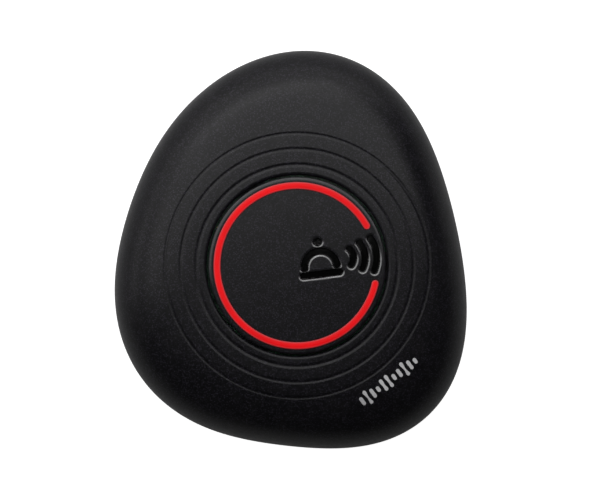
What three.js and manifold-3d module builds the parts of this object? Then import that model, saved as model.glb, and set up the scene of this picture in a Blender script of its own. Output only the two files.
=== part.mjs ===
// Table-top call pager: a pebble-shaped two-part housing with a round push button and a C-shaped
// light ring, a circuit board, two AAA cells and a hinged battery door underneath.
// Millimetres, +Z up. The origin is on the table, under the middle of the outline; +Y is the rounder,
// far end. Everything is modelled about the button's axis and moved to that origin at the end.
import * as THREE from "three";
import { mergeVertices } from "three/addons/utils/BufferGeometryUtils.js";
import Module from "manifold-3d";

const wasm = await Module();
wasm.setup();

// ---------- Driving dimensions ----------
const TURN = 2 * Math.PI;
const DEGREE = Math.PI / 180;
const SLIP = 0.05; // gap between flat faces that touch
const FIT = 0.3; // gap around a piece that is placed in another
const PAST = 1; // how far a cutter or a root runs past the face that it starts from

// Outline, as a radius about the button's axis: a mean and six waves [count, amplitude, crest in degrees].
const MEAN_RADIUS = 40.67;
const OUTLINE_WAVES = [
  [1, 1.27, 120.1],
  [2, 2.72, -85.2],
  [3, 2.54, -38.2],
  [4, 0.46, 43.7],
  [5, 0.24, 12.0],
  [6, 0.12, 10.5],
];
const RIM_HEIGHT = 8.6; // table to the widest section
const WALL = 2;
const SHELL_SIDES = 48;

// Upper housing
const SHOULDER_DROP = 0.6; // the housing beside the button lies this far under the button's middle
const DOME_POWER = 2.6;
const DOME_SQUARENESS = 2.2;
const DOME_SHARES = [0, 0.35, 0.6, 0.78, 0.9, 0.97, 1]; // rings between the last groove and the rim
const OPENING_GAP = 0.45;
const OPENING_EDGE = 0.7; // rounded lip around the opening
const COLLAR_WALL = 1.4;
const GROOVE_START = 1.5; // first groove's middle, from the lip
const GROOVE_PITCH = 3.4;
const GROOVES = [
  { width: 1.3, depth: 0.17 },
  { width: 1.15, depth: 0.14 },
  { width: 1.05, depth: 0.13 },
];
const SKIRT_WALL = 0.9; // what is left of the wall outside the lap joint
const REBATE_DEPTH = 2.2;

// Lower housing
const BASE_INSET = 6;
const FLOOR = 2.4;
const SEAM_GAP = 0.35;
const TONGUE_GAP = 0.2;
const GASKET_HEIGHT = 0.7;
const FOOT_PROUD = 1;
const FOOT_RADIUS = 4;
const FOOT_RECESS = 0.8;
const FOOT_INSET = 10.8; // foot centre to the outline
const FOOT_ANGLES = [50, 130, 221, 306];

// Housing screws
const SCREW_ANGLES = [88, 203, 322];
const SCREW_INSET = 9.6;
const SCREW_SEAT = 4;
const HOUSING_SCREW = { head: 2.4, headHeight: 1.5, shank: 1.25, length: 10 };
const BOSS_WALL = 2;

// Button
const CAP_RADIUS = 19.1;
const CAP_THICKNESS = 2;
const CAP_HEADROOM = 0.25; // switch plunger to the cap's underside
const CAP_CROWN = 0.5;
const CAP_CHAMFER = 0.4;
const CAP_SKIRT_WALL = 0.85;
const CAP_SKIRT_DEPTH = 3;
const CAP_SIDES = 48;
const HOOK = { reach: 0.95, height: 0.8, halfAngle: 9, angles: [0, 120, 240] };
const BOSS_RADIUS = 2.3;
const SPRING_PEG_LENGTH = 0.8;
const TRAVEL = 0.8;

// Light ring, a round-ended bar bent along an arc and let into the cap, with legs down to the lamps
const RING_INSET = 1.82; // cap's edge to the middle of the ring
const RING_WIDTH = 1.54;
const RING_DEPTH = 1;
const RING_START = 29.8;
const RING_END = 347;
const RING_STEPS = 44;
const LEG_WIDTH = 1.1;
const LEG_HALF_ANGLE = 5;
const LAMP_ANGLES = [72, 144, 216, 288];
const LAMP_SIZE = [1.6, 3.2, 0.8];

// Legend, cut into the cap: a hand bell and three sound waves
const LEGEND_X = 9.4;
const LEGEND_Y = 1.55;
const LEGEND_TILT = 7;
const LEGEND_DEPTH = 0.45;
const BELL = { x: -4.5, y: -1.4, radius: 3.5, stroke: 1.6 };
const BELL_BASE = { width: 9.4, y: -2.85 };
const BELL_KNOB = { radius: 0.95, y: 4.1 };
const WAVES = { x: 0.2, radii: [2.6, 5.1, 7.6], halfAngles: [42, 34, 28], stroke: 1.5 };

// Circuit board and what is on it
const BOARD_THICKNESS = 1.2;
const BOARD_INSET = 10;
const BOARD_SCREW_OFFSET = 2; // board screws to the outside of the collar
const BOARD_SCREW_ANGLES = [40, 140, 220, 320];
const BOARD_SCREW = { head: 1.7, headHeight: 1.1, shank: 0.85, length: 5 };
const BOARD_BOSS_RADIUS = 2.3;
const SWITCH = { side: 6, height: 3.2, cover: 0.25, plunger: 1.75, proud: 0.85, sink: 1.1 };
const CARRIER = { inner: 7, outer: 15, thickness: 1.2, postLength: 1.2, pegRadius: 0.8, pegTurn: 60 };
const SPRING = { wire: 0.4, radius: 1.9, turns: 4, circle: 11.5, angles: [30, 150, 270], post: 1.1 };
const CHIP = { size: [4, 8.7, 1.6], inset: 14.9 }; // on top, at the left edge
// Underneath the board, each on one side of the battery bay with a gap to its wall
const MODULE = { size: [9, 15, 2.8], side: 1, gap: 4.3, y: 1 };
const CRYSTAL = { size: [3.2, 8, 2.2], side: -1, gap: 1.8, y: 21.5 };
const CAPACITOR = { radius: 2.5, height: 6, edge: 0.3, side: 1, gap: 2.7, y: 20.5 };
const ANTENNA = { side: -1, gap: 5.3, y: -9, radius: 2.1, length: 18, turns: 6, wire: 0.8 };
const COIL_STEPS = 8; // pieces in each turn of a coil

// Battery bay and door
const CELL_DIAMETER = 10.5;
const CELL_LENGTH = 44.5;
const CELL_NUB = { radius: 1.9, height: 1 };
const CELL_SPACING = 0.4; // between the two cells
const CELL_GAP = 0.3;
const BATTERY_SPRING = { wire: 0.5, wide: 3.4, narrow: 1.9, turns: 3.5, length: 4.2 };
const CONTACT_THICKNESS = 0.3;
const CONTACT_TAB = 2.4;
const BAY_WALL = 1.2;
const BAY_ROOF = 1;
const DOOR_THICKNESS = 1.5;
const DOOR_GAP = 0.25;
const LEDGE = 1;
const DOOR_CORNER = 2;
const HINGE_TAB = { x: 6, width: 5, reach: 1.5, thickness: 0.55, lip: 0.8 };
const LATCH = { width: 9, slit: 0.8, length: 7, hook: 0.8, hookHeight: 0.7 };
const GRIP = { count: 4, width: 0.6, depth: 0.35, pitch: 1.3, start: 1.6, side: 1 }; // grooves in the latch

// ---------- Levels ----------
const baseLevel = FOOT_PROUD;
const doorTop = baseLevel + DOOR_THICKNESS;
const cellAxis = doorTop + CELL_GAP + CELL_DIAMETER / 2;
const bayTop = cellAxis + CELL_DIAMETER / 2 + CELL_GAP;
const boardBottom = bayTop + BAY_ROOF + 2 * FIT;
const boardTop = boardBottom + BOARD_THICKNESS;
const plungerTop = boardTop + SWITCH.height + SWITCH.cover + SLIP + SWITCH.proud;
const capUnderside = plungerTop + CAP_HEADROOM;
const capTop = capUnderside + CAP_THICKNESS; // the pager's overall height
const skirtBottom = capUnderside - CAP_SKIRT_DEPTH;
const collarBottom = skirtBottom + HOOK.height + SLIP;
const shoulder = capTop - SHOULDER_DROP;
const rebateTop = RIM_HEIGHT + REBATE_DEPTH;
const carrierTop = boardTop + SLIP + CARRIER.thickness;

// ---------- Widths ----------
const ringRadius = CAP_RADIUS - RING_INSET;
const openingRadius = CAP_RADIUS + OPENING_GAP;
const lipRadius = openingRadius + OPENING_EDGE;
const collarRadius = openingRadius + COLLAR_WALL;
const grooveRadii = GROOVES.map((_, i) => lipRadius + GROOVE_START + i * GROOVE_PITCH);
const bossRadius = HOUSING_SCREW.shank + SLIP + BOSS_WALL;
const cellPitch = CELL_DIAMETER + CELL_SPACING;
const bayWidth = cellPitch + CELL_DIAMETER + 2 * CELL_GAP;
const bayLength = CELL_LENGTH + BATTERY_SPRING.length + 2 * (CONTACT_THICKNESS + 2 * SLIP);

// ---------- Outline and dome ----------
const shellAngles = Array.from({ length: SHELL_SIDES }, (_, i) => (i * TURN) / SHELL_SIDES);

// Radius of the outline at an angle: the mean radius plus its waves.
function outlineRadius(angle) {
  const wave = ([count, amplitude, crest]) => amplitude * Math.cos(count * (angle - crest * DEGREE));
  return OUTLINE_WAVES.reduce((sum, w) => sum + wave(w), MEAN_RADIUS);
}

function polar(radius, angle) {
  return new THREE.Vector2(radius * Math.cos(angle), radius * Math.sin(angle));
}

const rimBox = new THREE.Box2().setFromPoints(shellAngles.map((a) => polar(outlineRadius(a), a)));
const middle = rimBox.getCenter(new THREE.Vector2());

// Share of the dome's fall at a share of the way from the opening to the rim.
function fall(share) {
  return 1 - (1 - share ** DOME_POWER) ** (1 / DOME_SQUARENESS);
}

function domeHeight(angle, radius) {
  const share = THREE.MathUtils.clamp((radius - lipRadius) / (outlineRadius(angle) - lipRadius), 0, 1);
  return shoulder - (shoulder - RIM_HEIGHT) * fall(share);
}

// ---------- Solids ----------
function solid(geometry) {
  const bare = geometry.index ? geometry.toNonIndexed() : geometry.clone();
  bare.deleteAttribute("normal");
  bare.deleteAttribute("uv");
  const merged = mergeVertices(bare, 1e-4);
  return new wasm.Manifold(
    new wasm.Mesh({
      numProp: 3,
      vertProperties: merged.attributes.position.array,
      triVerts: new Uint32Array(merged.index.array),
    }),
  );
}

function geometryOf(manifold) {
  const mesh = manifold.getMesh();
  const geometry = new THREE.BufferGeometry();
  geometry.setAttribute("position", new THREE.BufferAttribute(mesh.vertProperties, 3));
  geometry.setIndex(new THREE.BufferAttribute(mesh.triVerts, 1));
  geometry.computeVertexNormals();
  return geometry;
}

// A closed solid from rings of points, each ring as long as the others. A "closed" stack ends where it
// starts, like a tyre; otherwise its first and last rings are closed by a fan to their middle point.
function loft(rings, closed) {
  const sides = rings[0].length;
  const points = rings.flat().map((p) => [p.x, p.y, p.z]);
  const faces = [];
  const pairs = closed ? rings.length : rings.length - 1;
  for (let i = 0; i < pairs; i++) {
    const j = (i + 1) % rings.length;
    for (let k = 0; k < sides; k++) {
      const l = (k + 1) % sides;
      const [a, b, c, d] = [i * sides + k, i * sides + l, j * sides + l, j * sides + k];
      faces.push([a, b, c], [a, c, d]);
    }
  }
  if (!closed) {
    for (const [ring, turned] of [[0, true], [rings.length - 1, false]]) {
      const centre = points.length;
      points.push([0, 0, rings[ring][0].z]);
      for (let k = 0; k < sides; k++) {
        const [a, b] = [ring * sides + k, ring * sides + ((k + 1) % sides)];
        faces.push(turned ? [centre, b, a] : [centre, a, b]);
      }
    }
  }
  const make = (list) =>
    new wasm.Manifold(
      new wasm.Mesh({
        numProp: 3,
        vertProperties: new Float32Array(points.flat()),
        triVerts: new Uint32Array(list.flat()),
      }),
    );
  const made = make(faces);
  return made.volume() > 0 ? made : make(faces.map(([a, b, c]) => [a, c, b]));
}

// A ring of the housing: its radius and height are functions of the angle.
function housingRing(radiusAt, heightAt) {
  return shellAngles.map((angle) => {
    const radius = radiusAt(angle);
    const at = polar(radius, angle);
    return new THREE.Vector3(at.x, at.y, heightAt(angle, radius));
  });
}

const level = (height) => () => height;
const circle = (radius) => () => radius;
const inset = (distance) => (angle) => outlineRadius(angle) - distance;

function cylinder(radius, bottom, top, x = 0, y = 0, sides = 20) {
  const shape = new THREE.CylinderGeometry(radius, radius, top - bottom, sides);
  return solid(shape.rotateX(Math.PI / 2).translate(x, y, (bottom + top) / 2));
}

function box(width, length, bottom, top, x = 0, y = 0) {
  return solid(new THREE.BoxGeometry(width, length, top - bottom).translate(x, y, (bottom + top) / 2));
}

function prism(points, bottom, top) {
  const shape = new THREE.ExtrudeGeometry(new THREE.Shape(points), {
    depth: top - bottom,
    bevelEnabled: false,
  });
  return solid(shape.translate(0, 0, bottom));
}

// A solid turned about the Z axis from a profile of [radius, height] points.
function turned(profile, sides) {
  const points = profile.map(([radius, height]) => new THREE.Vector2(radius, height));
  return solid(new THREE.LatheGeometry(points, sides).rotateX(Math.PI / 2));
}

function tube(inner, outer, bottom, top, sides) {
  const bore = cylinder(inner, bottom - PAST, top + PAST, 0, 0, sides);
  return cylinder(outer, bottom, top, 0, 0, sides).subtract(bore);
}

function arcPoints(x, y, radius, from, to, steps) {
  return Array.from({ length: steps + 1 }, (_, i) => {
    const at = polar(radius, from + ((to - from) * i) / steps);
    return new THREE.Vector2(x + at.x, y + at.y);
  });
}

// Outline of a bar bent along an arc, with round or square ends. Angles are in radians.
function arcBar(radius, width, from, to, steps, round = true, x = 0, y = 0) {
  const [start, end] = [polar(radius, from), polar(radius, to)];
  const ends = round ? 6 : 1;
  return [
    ...arcPoints(x, y, radius + width / 2, from, to, steps),
    ...arcPoints(x + end.x, y + end.y, width / 2, to, to + Math.PI, ends).slice(1, -1),
    ...arcPoints(x, y, radius - width / 2, to, from, steps),
    ...arcPoints(x + start.x, y + start.y, width / 2, from + Math.PI, from + TURN, ends).slice(1, -1),
  ];
}

function roundedBox(width, length, corner, x = 0, y = 0) {
  const [w, l] = [width / 2 - corner, length / 2 - corner];
  const corners = [[w, l], [-w, l], [-w, -l], [w, -l]];
  return corners.flatMap(([cx, cy], i) =>
    arcPoints(x + cx, y + cy, corner, (i * Math.PI) / 2, ((i + 1) * Math.PI) / 2, 4),
  );
}

const union = (first, ...rest) => rest.reduce((sum, piece) => sum.add(piece), first);
const without = (first, ...rest) => rest.reduce((left, piece) => left.subtract(piece), first);

// ---------- Places ----------
const onOutline = (angles, distance) =>
  angles.map((a) => polar(outlineRadius(a * DEGREE) - distance, a * DEGREE));
const onCircle = (angles, radius) => angles.map((a) => polar(radius, a * DEGREE));
const screwPlaces = onOutline(SCREW_ANGLES, SCREW_INSET);
const footPlaces = onOutline(FOOT_ANGLES, FOOT_INSET);
const boardScrewPlaces = onCircle(BOARD_SCREW_ANGLES, collarRadius + BOARD_SCREW_OFFSET);
const springPlaces = onCircle(SPRING.angles, SPRING.circle);
const pegAngles = SPRING.angles.map((a) => a + CARRIER.pegTurn);
const carrierPegs = onCircle(pegAngles, (CARRIER.inner + CARRIER.outer) / 2);
const cellPlaces = [middle.x - cellPitch / 2, middle.x + cellPitch / 2];
const bayEnds = [middle.y - bayLength / 2, middle.y + bayLength / 2];
const besideBay = (side, distance) => middle.x + side * (bayWidth / 2 + BAY_WALL + distance);

// ---------- Housing ----------
// The battery bay's outside, with a gap added all round; the upper housing gives way to it where they meet.
function bayBlock(gap) {
  const [width, length] = [bayWidth, bayLength].map((inside) => inside + 2 * (BAY_WALL + gap));
  return box(width, length, baseLevel + SLIP, bayTop + BAY_ROOF + gap, middle.x, middle.y);
}

// What lies inside the middle of the upper housing's wall: bosses are cut to it, so they end in the wall.
function wallMiddle() {
  const shares = [1, 0.96, 0.85, 0.6, 0];
  const [edge, top] = [WALL / 2, shoulder - WALL / 2];
  const rings = shares.map((share) =>
    housingRing(
      (a) => THREE.MathUtils.lerp(lipRadius, outlineRadius(a) - edge, share),
      level(top - (top - RIM_HEIGHT) * fall(share)),
    ),
  );
  return loft([housingRing(inset(edge), level(0)), ...rings], false);
}

function upperHousing() {
  const rings = [housingRing(circle(openingRadius), level(collarBottom))];
  for (const turn of [0, 30, 60, 90]) {
    const [c, s] = [Math.cos(turn * DEGREE), Math.sin(turn * DEGREE)];
    rings.push(housingRing(circle(lipRadius - OPENING_EDGE * c), level(shoulder - OPENING_EDGE * (1 - s))));
  }
  GROOVES.forEach(({ width, depth }, i) => {
    const radius = grooveRadii[i];
    rings.push(housingRing(circle(radius - width / 2), domeHeight));
    rings.push(housingRing(circle(radius), (a, r) => domeHeight(a, r) - depth));
    rings.push(housingRing(circle(radius + width / 2), domeHeight));
  });
  const land = grooveRadii.at(-1) + GROOVES.at(-1).width;
  for (const share of DOME_SHARES) {
    rings.push(housingRing((a) => THREE.MathUtils.lerp(land, outlineRadius(a), share), domeHeight));
  }
  rings.push(housingRing(inset(SKIRT_WALL), level(RIM_HEIGHT)));
  rings.push(housingRing(inset(SKIRT_WALL), level(rebateTop)));
  const ceiling = shoulder - WALL;
  for (const share of [1, 0.96, 0.85, 0.6, 0]) {
    rings.push(
      housingRing(
        (a) => THREE.MathUtils.lerp(collarRadius, outlineRadius(a) - WALL, share),
        level(ceiling - (ceiling - rebateTop) * fall(share)),
      ),
    );
  }
  rings.push(housingRing(circle(collarRadius), level(collarBottom)));
  const shell = loft(rings, true);
  const wall = wallMiddle();
  const bosses = [
    ...screwPlaces.map((p) => cylinder(bossRadius, RIM_HEIGHT, capTop, p.x, p.y)),
    ...boardScrewPlaces.map((p) => cylinder(BOARD_BOSS_RADIUS, boardTop + SLIP, capTop, p.x, p.y, 20)),
  ].map((boss) => boss.intersect(wall));
  const screwTop = SCREW_SEAT + HOUSING_SCREW.length + FIT;
  const boardScrewTop = boardBottom + BOARD_SCREW.length + FIT;
  const holes = [
    ...screwPlaces.map((p) => cylinder(HOUSING_SCREW.shank + SLIP, 0, screwTop, p.x, p.y, 20)),
    ...boardScrewPlaces.map((p) => cylinder(BOARD_SCREW.shank + SLIP, 0, boardScrewTop, p.x, p.y, 16)),
  ];
  return without(union(shell, ...bosses), ...holes, bayBlock(FIT));
}

function lowerHousing() {
  const seam = RIM_HEIGHT - SEAM_GAP;
  const turns = [90, 72, 54, 36, 18, 0];
  const side = (turn, wall, bottom) =>
    housingRing(
      inset(wall + BASE_INSET * (1 - Math.cos(turn * DEGREE))),
      level(seam - (seam - bottom) * Math.sin(turn * DEGREE)),
    );
  const tongueTop = rebateTop - GASKET_HEIGHT - 2 * SLIP;
  const tongue = inset(SKIRT_WALL + TONGUE_GAP);
  const bowl = loft(
    [
      ...turns.map((turn) => side(turn, 0, baseLevel)),
      housingRing(tongue, level(seam)),
      housingRing(tongue, level(tongueTop)),
      housingRing(inset(WALL), level(tongueTop)),
      ...turns.toReversed().map((turn) => side(turn, WALL, baseLevel + FLOOR)),
    ],
    false,
  );
  const { x, y } = middle;
  const [width, length] = [bayWidth, bayLength];
  const solidBase = union(
    bowl,
    bayBlock(0),
    ...screwPlaces.map((p) => cylinder(bossRadius, baseLevel + SLIP, RIM_HEIGHT - FIT, p.x, p.y)),
  );
  const recess = prism(
    roundedBox(width + 2 * LEDGE, length + 2 * LEDGE, DOOR_CORNER, x, y),
    baseLevel - PAST,
    doorTop + FIT / 2,
  );
  const notchLength = HINGE_TAB.reach + LEDGE + FIT;
  const notches = [-1, 1].map((sign) =>
    box(
      HINGE_TAB.width + 2 * FIT,
      notchLength,
      baseLevel + HINGE_TAB.lip,
      baseLevel + FLOOR + FIT,
      x + sign * HINGE_TAB.x,
      bayEnds[0] - notchLength / 2 + SLIP,
    ),
  );
  const tabSlots = cellPlaces.map((cx) =>
    box(
      CONTACT_TAB + 2 * FIT,
      CONTACT_THICKNESS + 2 * FIT,
      bayTop - PAST,
      bayTop + BAY_ROOF + PAST,
      cx,
      bayEnds[1] - SLIP - CONTACT_THICKNESS / 2,
    ),
  );
  const thumbTop = baseLevel + HINGE_TAB.lip;
  const thumbNotch = cylinder(LATCH.width / 2, baseLevel - PAST, thumbTop, x, bayEnds[1] + LEDGE);
  const wells = screwPlaces.flatMap((p) => [
    cylinder(HOUSING_SCREW.head + FIT, baseLevel - PAST, SCREW_SEAT, p.x, p.y),
    cylinder(HOUSING_SCREW.shank + FIT, 0, RIM_HEIGHT, p.x, p.y, 20),
  ]);
  const footWells = footPlaces.map((p) =>
    cylinder(FOOT_RADIUS + FIT / 2, baseLevel - PAST, baseLevel + FOOT_RECESS, p.x, p.y),
  );
  return without(
    solidBase,
    box(width, length, baseLevel - PAST, bayTop, x, y),
    recess,
    ...notches,
    ...tabSlots,
    thumbNotch,
    ...wells,
    ...footWells,
  );
}

function housingGasket() {
  const [outer, inner] = [inset(SKIRT_WALL + TONGUE_GAP), inset(WALL)];
  const [bottom, top] = [rebateTop - GASKET_HEIGHT - SLIP, rebateTop - SLIP];
  return loft(
    [
      housingRing(outer, level(bottom)),
      housingRing(outer, level(top)),
      housingRing(inner, level(top)),
      housingRing(inner, level(bottom)),
    ],
    true,
  );
}

function foot(place) {
  const chamfer = 0.5;
  const top = baseLevel + FOOT_RECESS - SLIP;
  return turned(
    [[0, 0], [FOOT_RADIUS - chamfer, 0], [FOOT_RADIUS, chamfer], [FOOT_RADIUS, top], [0, top]],
    20,
  ).translate([place.x, place.y, 0]);
}

// A pan-head screw that points up, with a cross recess in the underside of its head.
function screw({ head, headHeight, shank, length }, seat, place) {
  const tip = seat + length;
  const body = turned(
    [
      [0, seat - headHeight],
      [head * 0.72, seat - headHeight],
      [head, seat - headHeight * 0.6],
      [head, seat],
      [shank, seat],
      [shank, tip - shank],
      [shank * 0.4, tip],
      [0, tip],
    ],
    16,
  );
  const [wide, thin] = [head * 1.05, head * 0.24];
  const [below, depth] = [seat - headHeight - PAST, seat - headHeight * 0.4];
  const cross = union(box(wide, thin, below, depth), box(thin, wide, below, depth));
  return body.subtract(cross).translate([place.x, place.y, 0]);
}

// ---------- Battery door and cells ----------
const doorLength = bayLength + 2 * (LEDGE - DOOR_GAP);
const doorEnds = [middle.y - doorLength / 2, middle.y + doorLength / 2];

function batteryDoor() {
  const { x, y } = middle;
  const width = bayWidth + 2 * (LEDGE - DOOR_GAP);
  const plate = prism(roundedBox(width, doorLength, DOOR_CORNER - DOOR_GAP, x, y), baseLevel, doorTop);
  const tabs = [-1, 1].map((sign) =>
    box(
      HINGE_TAB.width,
      HINGE_TAB.reach + PAST,
      doorTop - HINGE_TAB.thickness,
      doorTop,
      x + sign * HINGE_TAB.x,
      doorEnds[0] + PAST - (HINGE_TAB.reach + PAST) / 2,
    ),
  );
  const slits = [-1, 1].map((sign) =>
    box(
      LATCH.slit,
      LATCH.length + PAST,
      baseLevel - PAST,
      doorTop + PAST,
      x + (sign * (LATCH.width + LATCH.slit)) / 2,
      doorEnds[1] + PAST - (LATCH.length + PAST) / 2,
    ),
  );
  const hookTop = doorTop + LATCH.hookHeight;
  const hook = box(LATCH.width, LATCH.hook, doorTop - 0.1, hookTop, x, bayEnds[1] - FIT - LATCH.hook / 2);
  const grips = Array.from({ length: GRIP.count }, (_, i) =>
    box(
      LATCH.width - 2 * GRIP.side,
      GRIP.width,
      baseLevel - PAST,
      baseLevel + GRIP.depth,
      x,
      doorEnds[1] - GRIP.start - i * GRIP.pitch,
    ),
  );
  return without(union(plate, ...tabs, hook), ...slits, ...grips);
}

// A cell that lies along Y with its nub at the far end, or at the near end when it is turned.
function cell(x, nubAtFarEnd) {
  const radius = CELL_DIAMETER / 2;
  const [rim, can] = [0.6, CELL_LENGTH - CELL_NUB.height];
  const upright = turned(
    [
      [0, 0.2],
      [radius - 1.5, 0.2],
      [radius - 1.2, 0],
      [radius - rim, 0],
      [radius, rim],
      [radius, can - rim],
      [radius - rim, can],
      [CELL_NUB.radius, can],
      [CELL_NUB.radius, CELL_LENGTH],
      [0, CELL_LENGTH],
    ],
    24,
  );
  const along = nubAtFarEnd ? upright.rotate([-90, 0, 0]) : upright.rotate([90, 0, 0]);
  const clear = CONTACT_THICKNESS + 2 * SLIP;
  const start = nubAtFarEnd ? bayEnds[1] - clear - CELL_LENGTH : bayEnds[0] + clear + CELL_LENGTH;
  return along.translate([x, start, cellAxis]);
}

class Helix extends THREE.Curve {
  constructor(startRadius, endRadius, length, turns) {
    super();
    Object.assign(this, { startRadius, endRadius, length, turns });
  }
  getPoint(t, target = new THREE.Vector3()) {
    const at = polar(THREE.MathUtils.lerp(this.startRadius, this.endRadius, t), t * this.turns * TURN);
    return target.set(at.x, at.y, t * this.length);
  }
}

// A coil of round wire that stands on Z = 0 and reaches the given height.
function coil(startRadius, endRadius, height, turns, wire) {
  const section = new THREE.Shape(arcPoints(0, 0, wire / 2, 0, TURN, 6).slice(0, -1));
  const end = 0.6 * wire; // the middle of the wire at the coil's two ends, with a little to spare
  const wound = new THREE.ExtrudeGeometry(section, {
    steps: Math.round(turns * COIL_STEPS),
    extrudePath: new Helix(startRadius, endRadius, height - 2 * end, turns),
  });
  return solid(wound).translate([0, 0, end]);
}

function batterySpring(x, atFarEnd) {
  const { wide, narrow, length, turns, wire } = BATTERY_SPRING;
  const upright = coil(wide, narrow, length - 2 * SLIP, turns, wire);
  const clear = CONTACT_THICKNESS + 2 * SLIP;
  const along = atFarEnd ? upright.rotate([90, 0, 0]) : upright.rotate([-90, 0, 0]);
  return along.translate([x, atFarEnd ? bayEnds[1] - clear : bayEnds[0] + clear, cellAxis]);
}

const contactBottom = baseLevel + FLOOR + FIT;

function contactPlate(x) {
  const y = bayEnds[1] - SLIP - CONTACT_THICKNESS / 2;
  return union(
    box(CELL_DIAMETER - 2 * FIT, CONTACT_THICKNESS, contactBottom, bayTop - FIT, x, y),
    box(CONTACT_TAB, CONTACT_THICKNESS, bayTop - PAST, boardTop + FIT, x, y),
  );
}

function contactLink() {
  const width = cellPitch + CELL_DIAMETER - 2 * FIT;
  const y = bayEnds[0] + SLIP + CONTACT_THICKNESS / 2;
  return box(width, CONTACT_THICKNESS, contactBottom, bayTop - FIT, middle.x, y);
}

// ---------- Button ----------
function legendCutter() {
  const { x, y, radius, stroke } = BELL;
  const shapes = [
    arcBar(radius, stroke, 0, Math.PI, 16, false, x, y),
    roundedBox(BELL_BASE.width, stroke, stroke / 2 - SLIP, x, BELL_BASE.y),
    arcPoints(x, BELL_KNOB.y, BELL_KNOB.radius, 0, TURN, 14).slice(0, -1),
    ...WAVES.radii.map((r, i) => {
      const half = WAVES.halfAngles[i] * DEGREE;
      return arcBar(r, WAVES.stroke, -half, half, 8, true, WAVES.x, 0);
    }),
  ];
  const bottom = capTop - CAP_CROWN - LEGEND_DEPTH;
  return union(...shapes.map((points) => prism(points, bottom, capTop + PAST)))
    .rotate([0, 0, LEGEND_TILT])
    .translate([LEGEND_X, LEGEND_Y, 0]);
}

const ringFloor = capTop - CAP_CROWN - RING_DEPTH;
const capHeight = (radius) => capTop - CAP_CROWN * (radius / CAP_RADIUS) ** 2;

function buttonCap() {
  const crown = [0, 0.5, 1].map((share) => share * (CAP_RADIUS - CAP_CHAMFER));
  const inner = CAP_RADIUS - CAP_SKIRT_WALL;
  const body = turned(
    [
      [0, capUnderside],
      [inner, capUnderside],
      [inner, skirtBottom],
      [CAP_RADIUS, skirtBottom],
      [CAP_RADIUS, capHeight(CAP_RADIUS) - CAP_CHAMFER],
      ...crown.toReversed().map((radius) => [radius, capHeight(radius)]),
    ],
    CAP_SIDES,
  );
  const hooks = HOOK.angles.map((a) => {
    const span = arcBar(
      (CAP_RADIUS + HOOK.reach + inner) / 2,
      CAP_RADIUS + HOOK.reach - inner,
      (a - HOOK.halfAngle) * DEGREE,
      (a + HOOK.halfAngle) * DEGREE,
      6,
      false,
    );
    return prism(span, skirtBottom, skirtBottom + HOOK.height);
  });
  const boss = cylinder(BOSS_RADIUS, plungerTop + SLIP, capUnderside + PAST);
  const pegBottom = capUnderside - SPRING_PEG_LENGTH;
  const pegs = springPlaces.map((p) => cylinder(SPRING.post, pegBottom, capUnderside + PAST, p.x, p.y, 12));
  const groove = prism(ringShape(SLIP), ringFloor, capTop + PAST);
  const windows = LAMP_ANGLES.map((a) => prism(legShape(a, FIT / 2), capUnderside - PAST, capTop + PAST));
  return without(union(body, ...hooks, boss, ...pegs), groove, ...windows, legendCutter());
}

// Outlines of the light ring and of a leg, each with a gap added all round.
function ringShape(gap) {
  return arcBar(ringRadius, RING_WIDTH + 2 * gap, RING_START * DEGREE, RING_END * DEGREE, RING_STEPS);
}

function legShape(angle, gap) {
  const half = LEG_HALF_ANGLE * DEGREE + gap / ringRadius;
  return arcBar(ringRadius, LEG_WIDTH + 2 * gap, angle * DEGREE - half, angle * DEGREE + half, 4, false);
}

function lightRing() {
  const bar = prism(ringShape(0), ringFloor + SLIP, capHeight(ringRadius) + SLIP);
  const [legBottom, legTop] = [boardTop + LAMP_SIZE[2] + TRAVEL + 3 * SLIP, ringFloor + RING_DEPTH / 2];
  return union(bar, ...LAMP_ANGLES.map((a) => prism(legShape(a, 0), legBottom, legTop)));
}

// ---------- Circuit board ----------
const coverBottom = boardTop + SWITCH.height + SLIP;
const plungerBottom = boardTop + SWITCH.height - SWITCH.sink;
const plungerWell = SWITCH.plunger + 2 * SLIP;

function switchBody() {
  const body = box(SWITCH.side, SWITCH.side, boardTop + SLIP, boardTop + SWITCH.height);
  const wellBottom = plungerBottom - TRAVEL - SLIP;
  const well = cylinder(plungerWell, wellBottom, coverBottom, 0, 0, 24);
  return body.subtract(well);
}

function switchCover() {
  const plate = box(SWITCH.side, SWITCH.side, coverBottom, coverBottom + SWITCH.cover);
  return plate.subtract(cylinder(plungerWell, coverBottom - PAST, coverBottom + PAST, 0, 0, 24));
}

function switchPlunger() {
  return cylinder(SWITCH.plunger, plungerBottom, plungerTop, 0, 0, 24);
}

function springCarrier() {
  const ring = tube(CARRIER.inner, CARRIER.outer, boardTop + SLIP, carrierTop, 40);
  const middleLevel = carrierTop - CARRIER.thickness / 2;
  const postTop = carrierTop + CARRIER.postLength;
  const posts = springPlaces.map((p) => cylinder(SPRING.post, middleLevel, postTop, p.x, p.y, 12));
  const pegs = carrierPegs.map((p) => cylinder(CARRIER.pegRadius, boardBottom, middleLevel, p.x, p.y, 12));
  return union(ring, ...posts, ...pegs);
}

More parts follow.
